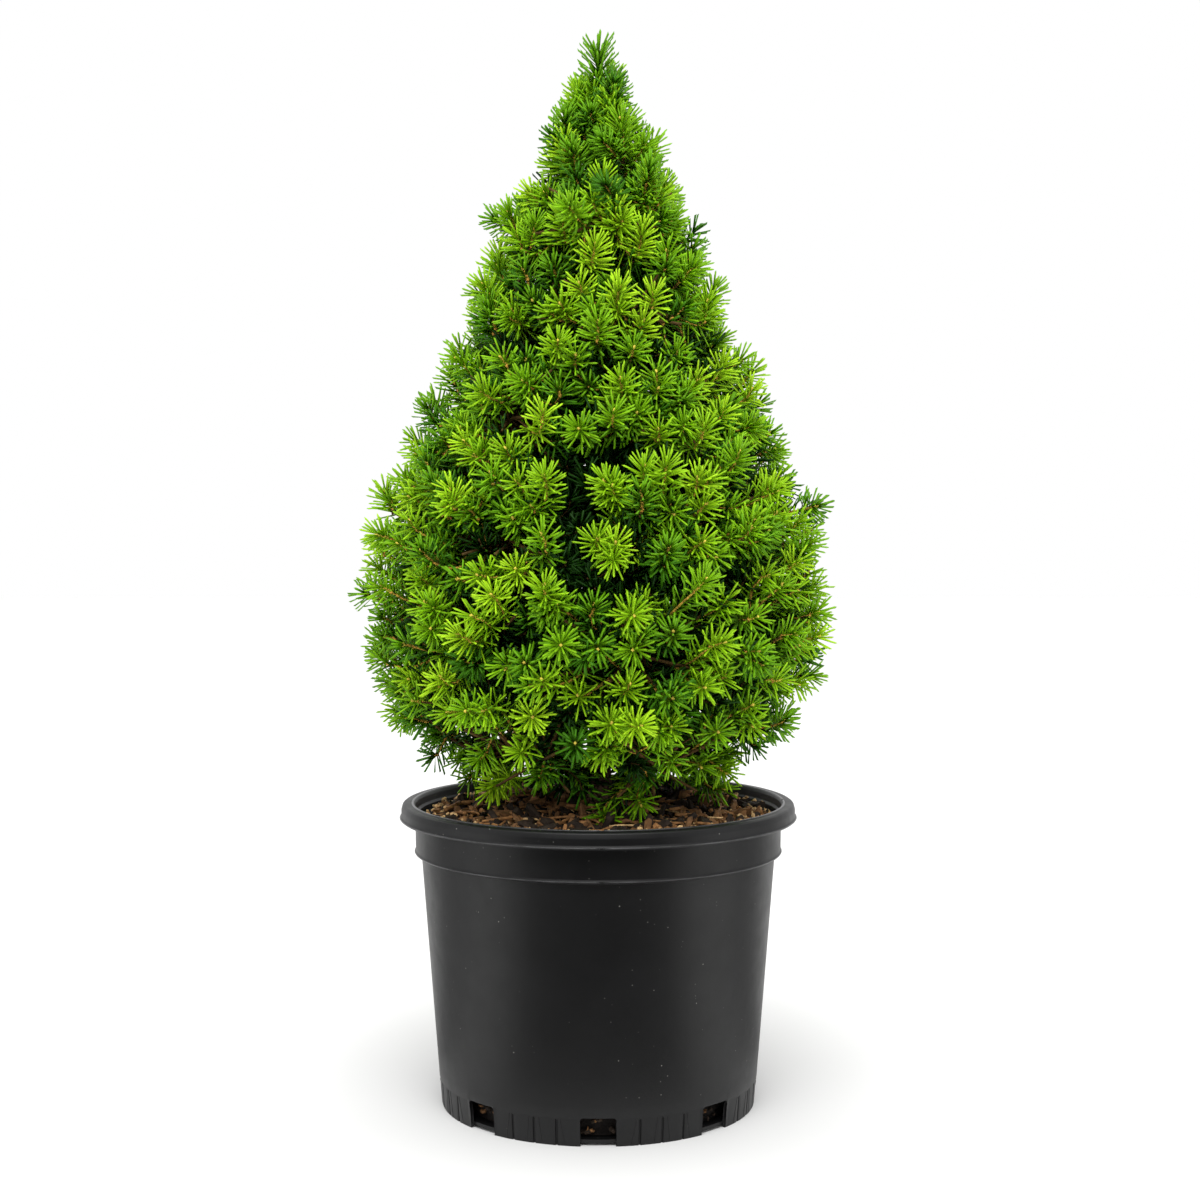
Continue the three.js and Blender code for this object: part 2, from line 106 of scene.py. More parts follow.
def seeded(seed):
    """The frame's own generator, so that the limbs grow as they do there."""
    mask = 0xFFFFFFFF
    state = seed & mask

    def draw():
        nonlocal state
        state = (state + 0x6D2B79F5) & mask
        t = ((state ^ (state >> 15)) * (1 | state)) & mask
        t = ((t + (((t ^ (t >> 7)) * (61 | t)) & mask)) & mask) ^ t
        return (t ^ (t >> 14)) / 2**32

    return draw


def lerp(a, b, t):
    return a + (b - a) * t


def unit(v):
    return v / np.maximum(np.linalg.norm(v, axis=-1, keepdims=True), 1e-9)


def on_circle(r, angle, z):
    """Points from their radius, angle and height."""
    return np.stack(np.broadcast_arrays(r * np.cos(angle), r * np.sin(angle), z), -1)


def at_height(z, table):
    """The value at a height, from a table of heights and values."""
    heights, values = zip(*table)
    return float(np.interp(z, heights, values))


def crown_radius(z):
    return at_height(z, CROWN)


def trunk_at(z):
    t = (z - TRUNK_FOOT) / (TRUNK_TOP - TRUNK_FOOT)
    sway = TRUNK_SWAY * math.sin(min(max(t, 0), 1) * math.pi)
    return np.array([sway * math.sin(t * 7.3 + 0.6), sway * math.cos(t * 5.9 + 0.2), z])


def trunk_radius(z):
    t = min(max((z - TRUNK_FOOT) / (TRUNK_TOP - TRUNK_FOOT), 0), 1)
    flare = ROOT_FLARE * math.exp((TRUNK_FOOT - z) / ROOT_FLARE_HEIGHT)
    return lerp(TRUNK_RADIUS, TRUNK_TOP_RADIUS, t**0.85) + flare


def edge_height(tier, angle, r):
    outer, inner, _ = TIERS[tier]
    wave = TIER_WAVE * math.sin(3 * angle + 2.1 * tier) if 0 < tier < LEADER else 0
    return inner + ((outer - inner) / crown_radius(outer) + wave) * r


def bezier(points, t):
    """Points on a Bezier curve of any degree, at the shares t of its way."""
    points = [np.asarray(p, float) for p in points]
    t = np.asarray(t, float)[..., None]
    while len(points) > 1:
        points = [a + (b - a) * t for a, b in zip(points, points[1:])]
    return points[0]


def curve(points, steps, start=0):
    """A Bezier curve as even steps, from a share of its way on."""
    return bezier(points, np.linspace(start, 1, steps))


class Space:
    """The space of one bough and its foliage: a sector of a tier."""

    def __init__(self, tier, number, boughs):
        self.tier = tier
        self.middle = TURN * (GOLDEN_TURN * tier + number / boughs)
        self.half = math.pi / boughs
        self.low, self.high = TIERS[tier][0], TIERS[tier + 1][0]
        self.reach = crown_radius((self.low + self.high) / 2)
        self.bough_radius = lerp(BOUGH_THICKEST, BOUGH_THINNEST, tier / (LEADER - 1))
        random = seeded(1000 * (tier + 1) + number)
        self.bough = self.bough_line(random)
        self.stem = self.stem_line()
        self.twigs = self.ends(TWIG_SPACING, random, TWIG_JITTER)

    def point(self, across, up, r):
        """A place in the space: -1 to 1 across it and up it, and r from the trunk's line."""
        angle = self.middle + across * self.half
        low = edge_height(self.tier, angle, r)
        high = edge_height(self.tier + 1, angle, r)
        return on_circle(r, angle, lerp(low, high, (up + 1) / 2))

    def outline(self, up):
        return crown_radius(lerp(self.low, self.high, (up + 1) / 2))

    def bough_line(self, random):
        rise = lerp(-0.35, 0.3, random())
        drift = lerp(-0.12, 0.12, random())
        tip = self.point(drift, 0, BOUGH_ENDS * self.reach)

        def sagging(foot):
            middle = lerp(foot, tip, 0.5)
            middle[2] -= BOUGH_SAG * np.linalg.norm(tip - foot)
            return middle

        foot = trunk_at(self.point(0, rise, 0)[2])
        middle = sagging(foot)
        slope = abs(middle[2] - foot[2]) / np.linalg.norm(middle - foot)
        outward = unit((tip - foot) * [1, 1, 0])
        foot = foot + outward * (trunk_radius(foot[2]) + GAP + self.bough_radius * slope)
        return [foot, sagging(foot), tip]

    def stem_line(self):
        _, middle, foot = self.bough
        tip = self.point(0, 0, STEM_ENDS * self.reach)
        return [foot, foot + unit(foot - middle) * 0.4 * np.linalg.norm(tip - foot), tip]

    def ends(self, spacing, random, jitter, rise_jitter=1):
        """Where twigs end: rows that follow the crown's outline, evenly spread."""
        rows = max(2, round((self.high - self.low) / spacing))
        found = []
        for row in range(rows):
            up = 2 * (row + 0.5) / rows - 1
            columns = max(2, round(2 * self.half * self.outline(up) / spacing))
            for column in range(columns):
                stagger = 0.6 if row % 2 else 0.4
                across = 2 * (column + stagger + jitter * (random() - 0.5)) / columns - 1
                rise = up + jitter * (random() - 0.5) * rise_jitter / rows
                found.append((across, rise, lerp(0.95, 1.02, random())))
        return found


@functools.cache
def spaces():
    return [
        Space(tier, number, boughs)
        for tier, (_, _, boughs) in enumerate(TIERS[:LEADER])
        for number in range(boughs)
    ]


# ---- Sizes and colours that can be changed ----


def linear(colour):
    """An sRGB hex colour as linear red, green and blue."""
    values = [int(colour[i : i + 2], 16) / 255 for i in (1, 3, 5)]
    return tuple(v / 12.92 if v <= 0.04045 else ((v + 0.055) / 1.055) ** 2.4 for v in values)


def colour(name, value, description):
    return FloatVectorProperty(
        name=name, description=description, subtype="COLOR", min=0, max=1, default=linear(value)
    )


def size(name, value, description):
    return FloatProperty(name=name, description=description + ", in mm", min=0, default=value)


class NeedleSettings(bpy.types.PropertyGroup):
    """The needles and the shoots that carry them."""

    length: size("Needle length", 14.5, "Length of a full-grown needle")
    width: size("Needle width", 1.44, "Widest place of a needle")
    spacing: size("Shoot spacing", 23, "Distance between the ends of neighbouring shoots")
    tuft: size("New growth", 6, "Length of this year's growth above a node")
    past_shoot: size("Past growth", 24, "Length of last year's growth below a node")
    seed: IntProperty(name="Seed", description="Another seed grows another crown", default=11)
    lightest: colour("Youngest needles", "#A6D41C", "The softest growth, yellow-green")
    bright: colour("Bright needles", "#90C212", "Fresh growth in full light")
    new: colour("New needles", "#7CB20C", "This year's growth")
    green: colour("Green needles", "#629A06", "Growth that has hardened")
    deep: colour("Deep green needles", "#3E7605", "Last year's needles")
    # The inner tint is partly old needles' own darker green and partly painted shade inside the crown.
    inner: colour("Inner needles", "#163C03", "Old needles inside the crown")


class WoodSettings(bpy.types.PropertyGroup):
    """Bark, twigs and buds."""

    bark: colour("Bark", "#6B5442", "The grey-brown of bark scales")
    furrow: colour("Bark furrows", "#2F2118", "The dark between bark scales")
    old_twig: colour("Old twigs", "#5A431E", "Twigs of past years")
    new_twig: colour("New twigs", "#DDB048", "This year's tan stems")
    bud: colour("Bud scales", "#E6AC4C", "Rings of scales at the nodes of shoots")
    tip_bud: colour("Tip buds", "#E0C850", "Small buds at the tips of shoots")


class PotSettings(bpy.types.PropertyGroup):
    """The nursery pot."""

    black: colour("Plastic", "#09090A", "Carbon-black polypropylene")
    # Painted highlight: the paler grey of thin lines along the pot's edges.
    rubbed: colour("Rubbed edges", "#3A3A3B", "Edges that handling has rubbed paler")
    dust: colour("Dust", "#8D8B86", "Specks of dust and splashed mix")
    wall: size("Wall", 2.0, "Thickness of the moulded wall")
    drain_width: size("Drain hole width", 20.6, "Width of a drain hole")
    drain_top: size("Drain hole top", 16.6, "Height of the top of a drain hole")
    groove_depth: size("Groove depth", 1.0, "Depth of the grooves round the foot")


class MixSettings(bpy.types.PropertyGroup):
    """The potting mix."""

    dark: colour("Dark bark", "#33281F", "Composted bark chips")
    brown: colour("Brown bark", "#7E5A38", "Fresher bark chips")
    red: colour("Red bark", "#9E7044", "Inner faces of bark chips")
    tan: colour("Splinters and grains", "#DDB680", "Wood splinters and grains")
    # Its near-black is partly the moist compost's own colour and partly painted shade in the gaps
    # between the chips and behind the drain holes.
    crumbs_and_shade: colour("Crumbs", "#130C08", "Fine moist compost between the chips")


class StageSettings(bpy.types.PropertyGroup):
    """The floor, the lights and the camera."""

    floor: colour("Floor", "#F7F7F6", "Matte white studio floor, far from the pot")
    key: FloatProperty(name="Key", description="Power of the front light", unit="POWER", default=40)
    back: FloatProperty(name="Back", description="Power of the back light", unit="POWER", default=1)
    sky: FloatProperty(name="Sky", description="Brightness of the white studio", default=1.0)


SETTINGS = {
    "spruce_needles": NeedleSettings,
    "spruce_wood": WoodSettings,
    "spruce_pot": PotSettings,
    "spruce_mix": MixSettings,
    "spruce_stage": StageSettings,
}

# ---- Mesh tools ----


def piece(name, mesh, material, smooth=True):
    """An object from vertices in millimetres and equal-sided arrays of vertex numbers."""
    vertices, *faces = mesh
    faces = [np.asarray(f, np.int32) for f in faces]
    made = bpy.data.meshes.new(name)
    made.vertices.add(len(vertices))
    made.vertices.foreach_set("co", (np.asarray(vertices, np.float32) * MM).ravel())
    sides = np.concatenate([np.full(len(f), f.shape[1], np.int32) for f in faces])
    loops = np.concatenate([f.ravel() for f in faces])
    made.loops.add(len(loops))
    made.loops.foreach_set("vertex_index", loops)
    made.polygons.add(len(sides))
    made.polygons.foreach_set("loop_start", np.cumsum(sides) - sides)
    made.polygons.foreach_set("use_smooth", np.full(len(sides), smooth))
    made.update(calc_edges=True)
    made.validate()
    made.materials.append(material)
    thing = bpy.data.objects.new(name, made)
    bpy.context.scene.collection.objects.link(thing)
    return thing


def keep(made, slot, *nodes):
    """Rides a piece on the plant and hides the solids it stands for."""
    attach(made, "root")
    if nodes:
        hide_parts(*nodes)


def frames(tangents):
    """Two directions across each tangent of some paths, that don't twist along a path."""
    first = tangents[:, :1]
    helper = np.where(np.abs(first[..., 2:]) < 0.7, [0.0, 0, 1], [1.0, 0, 0])
    side = unit(np.cross(first, helper))
    side = unit(side - tangents * np.sum(side * tangents, axis=-1, keepdims=True))
    return side, np.cross(tangents, side)


def repeated(faces, count, vertices_each):
    """One thing's faces, numbered on for each of several such things."""
    start = np.arange(count)[:, None, None] * vertices_each
    return (np.asarray(faces) + start).reshape(-1, np.shape(faces)[-1])


def bands(grid):
    """Quads between the rings of a grid of vertex numbers."""
    after = np.roll(grid, -1, axis=1)
    return np.stack([grid[:-1], after[:-1], after[1:], grid[1:]], -1).reshape(-1, 4)


def end_caps(grid):
    """Triangles from a grid's first and last rings to the two vertices numbered after it."""
    after = np.roll(grid, -1, axis=1)
    point = np.full(grid.shape[1], grid.size)
    low = np.stack([point, after[0], grid[0]], -1)
    return np.concatenate([low, np.stack([point + 1, grid[-1], after[-1]], -1)])


def tubes(paths, radii, sides):
    """Round limbs along paths, of shape (count, steps, 3), closed by a point at each end."""
    paths = np.asarray(paths)
    count, steps, _ = paths.shape
    side, other = frames(unit(np.gradient(paths, axis=1)))
    angle = (np.arange(sides) * TURN / sides)[:, None]
    ring = side[:, :, None] * np.cos(angle) + other[:, :, None] * np.sin(angle)
    body = paths[:, :, None] + ring * np.asarray(radii)[:, :, None, None]
    vertices = np.concatenate([body.reshape(count, -1, 3), paths[:, :1], paths[:, -1:]], axis=1)
    grid = np.arange(steps * sides).reshape(steps, sides)
    quads, caps = (repeated(f, count, grid.size + 2) for f in (bands(grid), end_caps(grid)))
    return vertices.reshape(-1, 3), quads, caps


def even(paths, foot, end):
    """Radii for paths that all taper alike."""
    return np.ones((len(paths), 1)) * np.linspace(foot, end, len(paths[0]))


def rough_tube(path, radii, sides, relief, scale_size):
    """One limb with the scales of its bark as relief in its mesh."""
    vertices, quads, caps = tubes(path[None], radii[None], sides)
    ring = vertices[:-2]
    outward = unit(ring - np.repeat(path, sides, axis=0))
    for v, out in zip(ring, outward):
        place = Vector((v[0], v[1], v[2] * 0.45)) / scale_size
        near = noise.voronoi(place)[0]
        rise = min(near[1] - near[0], 0.5) * 2 - 0.6 + 0.4 * noise.noise(place * 2.3)
        v += out * relief * rise
    return vertices, quads, caps


def joined(parts):
    """Several (vertices, quads, caps) as one, with their vertex numbers moved up."""
    vertices, *faces = zip(*parts)
    starts = np.cumsum([0, *map(len, vertices)])
    moved = [[np.asarray(f) + start for f, start in zip(kind, starts)] for kind in faces]
    return (np.concatenate(vertices), *map(np.concatenate, moved))


def turned(section, segments):
    """A solid of revolution from a section whose first and last points are on the axis."""
    angles = np.arange(segments)[:, None] * TURN / segments
    r, z = np.array(section[1:-1], float).T
    body = np.stack([r * np.cos(angles), r * np.sin(angles), np.tile(z, (segments, 1))], -1)
    ends = [(0, 0, section[0][1]), (0, 0, section[-1][1])]
    grid = np.arange(segments * len(r)).reshape(segments, len(r)).T
    return np.concatenate([body.reshape(-1, 3), ends]), bands(grid), end_caps(grid)


# ---- Materials ----


def add_node(tree, kind, settings=None, values=None, links=None):
    """Adds a shader node with its own settings, its sockets' values and its sockets' links."""
    made = tree.nodes.new("ShaderNode" + kind)
    for name, value in (settings or {}).items():
        setattr(made, name, value)
    for socket, value in (values or {}).items():
        made.inputs[socket].default_value = value
    for socket, source in (links or {}).items():
        tree.links.new(source, made.inputs[socket])
    return made


def start_material(name):
    """An empty material, with its tree and the place of each point in metres."""
    material = bpy.data.materials.new(name)
    material.use_nodes = True
    tree = material.node_tree
    tree.nodes.clear()
    place = add_node(tree, "TexCoord").outputs["Object"]
    return material, tree, place


def finish_material(material, roughness, gloss, links):
    """Adds the shader, whose roughness is a value here or a link."""
    values = {"Specular IOR Level": gloss}
    if roughness is not None:
        values["Roughness"] = roughness
    tree = material.node_tree
    shader = add_node(tree, "BsdfPrincipled", values=values, links=links)
    add_node(tree, "OutputMaterial", links={"Surface": shader.outputs["BSDF"]})
    return material


def per_metre(millimetres):
    """A texture's scale from the real size of one of its features."""
    return 1 / (millimetres * MM)


def shade(tint, share=1.0):
    """A colour made darker or lighter, with its alpha."""
    return (*(v * share for v in tint), 1)


def clouds(tree, place, millimetres, edges, range_to=(0, 1), detail=2.0, roughness=0.5):
    """Blotches of a real size: noise whose values between two edges fill a range."""
    values = {"Scale": per_metre(millimetres), "Detail": detail, "Roughness": roughness}
    cloud = add_node(tree, "TexNoise", values=values, links={"Vector": place})
    low, high = edges
    to_low, to_high = range_to
    values = {"From Min": low, "From Max": high, "To Min": to_low, "To Max": to_high}
    return add_node(tree, "MapRange", values=values, links={"Value": cloud.outputs["Fac"]}).outputs[0]


def relief(tree, place, millimetres, depth, detail=2.0, strength=1.0):
    """The normal of a surface with lumps of a real size and depth."""
    values = {"Scale": per_metre(millimetres), "Detail": detail}
    lumps = add_node(tree, "TexNoise", values=values, links={"Vector": place}).outputs["Fac"]
    values = {"Strength": strength, "Distance": depth * MM}
    return add_node(tree, "Bump", values=values, links={"Height": lumps}).outputs["Normal"]


def mottled(name, tint, shades, blotch, roughness, gloss, edges=(0.35, 0.65), detail=2, lumps=None):
    """A finish of two shades of one tint in blotches, over fine lumps where it has any."""
    material, tree, place = start_material(name)
    share = clouds(tree, place, blotch, edges, detail=detail)
    colours = {6: shade(tint, shades[0]), 7: shade(tint, shades[1])}
    mix = add_node(tree, "Mix", {"data_type": "RGBA"}, colours, {0: share})
    links = {"Base Color": mix.outputs[2]}
    if lumps:
        links["Normal"] = relief(tree, place, *lumps)
    return finish_material(material, roughness, gloss, links)


def needle_material(name, tint):
    """Waxy living needle: a satin skin over green that varies a little from needle to needle."""
    shades, lumps = (0.82, 1.12), (0.8, 0.05)
    return mottled(name, tint, shades, blotch=9, roughness=0.5, gloss=0.2, lumps=lumps)


def twig_material(name, tint, ridge):
    """Young softwood stem: dry and matte, with the pegs that the needles sat on as fine lumps."""
    shades, lumps = (0.6, 1.15), (ridge, 0.2)
    return mottled(name, tint, shades, ridge * 3, roughness=0.75, gloss=0.25, lumps=lumps)


def chip_material(name, tint, fibre):
    """Composted pine bark: moist, fibrous and matte, with darker pits."""
    shades, edges, lumps = (0.45, 1.3), (0.3, 0.7), (fibre, 0.35, 4)
    return mottled(name, tint, shades, fibre * 4, 0.8, 0.3, edges, detail=3, lumps=lumps)


def highlight_line_material(tint):
    """Painted highlights: thin lines along the moulding's edges, paler than the body and smoother."""
    name, shades = "rubbed_polypropylene", (0.4, 1.2)
    return mottled(name, tint, shades, blotch=12, roughness=0.3, gloss=0.5, detail=4)


def bark_material(bark, furrow):
    """Spruce bark: dull, flaking scales about 4 mm across, dark where they part."""
    material, tree, place = start_material("spruce_bark")
    at_place = {"Vector": place}
    edge_distance = {"feature": "DISTANCE_TO_EDGE"}
    cells = add_node(tree, "TexVoronoi", edge_distance, {"Scale": per_metre(4.5)}, at_place)
    links = {"Value": cells.outputs["Distance"]}
    scales = add_node(tree, "MapRange", values={"From Min": 0, "From Max": 0.18}, links=links).outputs[0]
    patch = add_node(tree, "TexNoise", values={"Scale": per_metre(6)}, links=at_place).outputs["Fac"]
    flakes = add_node(tree, "TexNoise", values={"Scale": per_metre(1.2)}, links=at_place).outputs["Fac"]
    as_colour = {"data_type": "RGBA"}
    colours = {6: shade(bark, 0.7), 7: shade(bark, 1.2)}
    tint = add_node(tree, "Mix", as_colour, colours, {0: patch}).outputs[2]
    base = add_node(tree, "Mix", as_colour, {6: shade(furrow)}, {0: scales, 7: tint}).outputs[2]
    height = add_node(tree, "Math", {"operation": "ADD"}, links={0: scales, 1: flakes}).outputs[0]
    values = {"Strength": 0.8, "Distance": 0.5 * MM}
    normal = add_node(tree, "Bump", values=values, links={"Height": height}).outputs["Normal"]
    return finish_material(material, 0.9, 0.2, {"Base Color": base, "Normal": normal})


def plastic_material(black, dust):
    """Injection-moulded carbon-black polypropylene: a fine satin grain, rubbed and dusty."""
    material, tree, place = start_material("moulded_polypropylene")
    # A speck lies in the middle of a few cells, more of them in some parts than in others.
    speck = add_node(tree, "TexVoronoi", values={"Scale": per_metre(4)}, links={"Vector": place})
    cell = add_node(tree, "SeparateColor", links={"Color": speck.outputs["Color"]}).outputs["Red"]
    share = clouds(tree, place, 45, (0.44, 0.56))
    for source, low, high in ((speck.outputs["Distance"], 0.1, 0.06), (cell, 0.6, 1.1)):
        values = {"From Min": low, "From Max": high}
        part = add_node(tree, "MapRange", values=values, links={"Value": source}).outputs[0]
        share = add_node(tree, "Math", {"operation": "MULTIPLY"}, links={0: share, 1: part}).outputs[0]
    haze = clouds(tree, place, 30, (0.4, 0.7), detail=4)
    as_colour = {"data_type": "RGBA"}
    body = add_node(tree, "Mix", as_colour, {6: shade(black), 7: shade(black, 1.4)}, {0: haze})
    base = add_node(tree, "Mix", as_colour, {7: shade(dust)}, {0: share, 6: body.outputs[2]})
    links = {
        "Base Color": base.outputs[2],
        "Roughness": clouds(tree, place, 14, (0.3, 0.7), (0.41, 0.49), 5, 0.65),
        "Normal": relief(tree, place, 0.7, 0.03, 3, 0.7),
    }
    return finish_material(material, None, 0.38, links)


def painted_light_material(name, near, far, first, second, roughness, gloss):
    """A matte surface whose tone goes from one to another, away from the middle of the pot: painted
    shadow on the floor, painted reflection on the cloths.
    """
    material, tree, place = start_material(name)
    away = add_node(tree, "VectorMath", {"operation": "LENGTH"}, links={0: place})
    values = {"From Min": near * MM, "From Max": far * MM}
    share = add_node(tree, "MapRange", values=values, links={"Value": away.outputs["Value"]})
    tones = {6: shade(first), 7: shade(second)}
    base = add_node(tree, "Mix", {"data_type": "RGBA"}, tones, {0: share.outputs[0]})
    return finish_material(material, roughness, gloss, {"Base Color": base.outputs[2]})


# ---- The pot ----

BASE_RADIUS = 95
WALL_TOP_RADIUS = 107
STEP_HEIGHT = 152
BAND_RADIUS = 110.7
LIP_TOP_RADIUS = 118.3
LIP_DEPTH = 9.3
RIM_WIDTH = 7
FLOOR_BOTTOM = 1.6
FLOOR_TOP = 3.6
DRAIN_HOLES = 8
HOLE_ANGLES = np.arange(DRAIN_HOLES) * TURN / DRAIN_HOLES - math.pi / 2
GROOVES = 3
GROOVE_WIDTH = 1.5
GROOVE_TOP = 15.6
LEDGE = 0.35  # the wall stands out a little above the grooves
CORNER_ROUNDING = 0.45
EDGE_ROUNDING = 0.35
# Where a drain hole's columns stand, as shares of its half width, and how far its top edge
# comes down there to round its corners.
HOLE_COLUMNS = [-1, -0.96, -0.85, -0.6, -0.3, 0, 0.3, 0.6, 0.85, 0.96, 1]
HOLE_CORNER = [1.6, 0.65, 0, 0, 0, 0, 0, 0, 0, 0.65, 1.6]
# The same for a groove, and the share of its depth there.
GROOVE_COLUMNS = [-1, -0.55, 0, 0.55]
GROOVE_SHAPE = [0, 0.85, 1, 0.85]
PANEL_COLUMNS = 5  # between a hole and a groove, or two grooves
# Radius, height and thickness of the painted highlight lines along edges: the rim's inner edge, and
# the lower edges of the lip and of the band.
PAINTED_HIGHLIGHTS = [
    (LIP_TOP_RADIUS - RIM_WIDTH + 1.0, POT_TOP - 0.2, 0.8),
    (LIP_RADIUS - 0.25, POT_TOP - LIP_DEPTH + 0.75, 0.4),
    (BAND_RADIUS + 0.15, STEP_HEIGHT + 1.95, 0.4),
]
# Fine lines that the mould left beside each drain hole: distance from its edge at top and foot.
MOULD_LINES = [(11.5, 8.6), (24.0, 22.2)]
MOULD_LINE_RADIUS = 0.16
MOULD_LINE_FOOT = 0.7


def rounded(points, radius, steps=4):
    """An outline with its inner corners rounded, as [radius, height] points."""
    out = [points[0]]
    for before, corner, after in zip(points, points[1:], points[2:]):
        corner = np.array(corner, float)
        a, b = np.array(before) - corner, np.array(after) - corner
        cut = min(radius, 0.45 * np.linalg.norm(a), 0.45 * np.linalg.norm(b))
        start, end = corner + unit(a) * cut, corner + unit(b) * cut
        out += map(tuple, curve([start, corner, end], steps))
    return out + [points[-1]]


def wall_radius(z):
    return lerp(BASE_RADIUS, WALL_TOP_RADIUS, z / STEP_HEIGHT)


def pot_outline(wall, drain_top):
    """The pot's section from the foot's outside over the rim to the foot's inside."""
    lip = POT_TOP - LIP_DEPTH
    rim = LIP_TOP_RADIUS - RIM_WIDTH
    outside = [
        (wall_radius(drain_top + 1.2) + LEDGE, drain_top + 1.2),
        *[(wall_radius(z) + LEDGE * (1 - z / STEP_HEIGHT), z) for z in (24, 40, 70, 110)],
        (WALL_TOP_RADIUS, STEP_HEIGHT + 0.2),
        (BAND_RADIUS, STEP_HEIGHT + 1.2),
        (BAND_RADIUS + 0.5, STEP_HEIGHT + 2.0),
        (BAND_RADIUS - 0.2, STEP_HEIGHT + 3.2),
        (BAND_RADIUS, lip - 2.2),
        (BAND_RADIUS + 0.6, lip - 0.8),
        (LIP_RADIUS - 1.0, lip - 0.4),
        (LIP_RADIUS, lip + 0.6),
        (LIP_RADIUS - 0.9, lip + 2.0),
        (LIP_RADIUS - 0.9, POT_TOP - 3.6),
        (LIP_TOP_RADIUS, POT_TOP - 0.8),
        (LIP_TOP_RADIUS - 1.2, POT_TOP),
        (rim, POT_TOP),
        (rim - 0.7, POT_TOP - 1.4),
        (rim - 1.0, POT_TOP - 5.5),
        (BAND_RADIUS - wall, POT_TOP - 6.3),
        (BAND_RADIUS - wall, STEP_HEIGHT + 5),
        (WALL_TOP_RADIUS - wall, STEP_HEIGHT),
        (wall_radius(60) - wall, 60),
    ]
    low = [(wall_radius(z), z) for z in (0, 0.6, 4, 10, GROOVE_TOP - 0.8, GROOVE_TOP, drain_top)]
    foot = [(r - wall, z) for r, z in reversed(low)]
    return low, rounded(outside, CORNER_ROUNDING), foot


def pot_columns(half_hole):
    """Angles of one sector's columns from a hole's edge on, and the grooves' depth there."""
    sector = TURN / DRAIN_HOLES
    panel = (sector - 2 * half_hole) / (GROOVES + 1)
    half_groove = GROOVE_WIDTH / 2 / BASE_RADIUS
    angles = [half_hole * share for share in HOLE_COLUMNS[:-1]]
    depths = [0] * len(angles)
    edge = half_hole
    for n in range(1, GROOVES + 2):
        middle = half_hole + n * panel
        end = middle - half_groove if n <= GROOVES else sector - half_hole
        angles += list(np.linspace(edge, end, PANEL_COLUMNS + 1)[:-1])
        depths += [0] * PANEL_COLUMNS
        if n <= GROOVES:
            angles += [middle + half_groove * share for share in GROOVE_COLUMNS]
            depths += GROOVE_SHAPE
            edge = middle + half_groove
    return np.array(angles), np.array(depths)


def soften(made):
    """Rounds a moulding's sharp edges."""
    modifier = made.modifiers.new("edges", "BEVEL")
    modifier.width = EDGE_ROUNDING * MM
    modifier.segments = 2
    modifier.limit_method = "ANGLE"
    modifier.angle_limit = math.radians(38)
    evaluated = made.evaluated_get(bpy.context.evaluated_depsgraph_get())
    sharp, made.data = made.data, bpy.data.meshes.new_from_object(evaluated)
    made.modifiers.clear()
    bpy.data.meshes.remove(sharp)


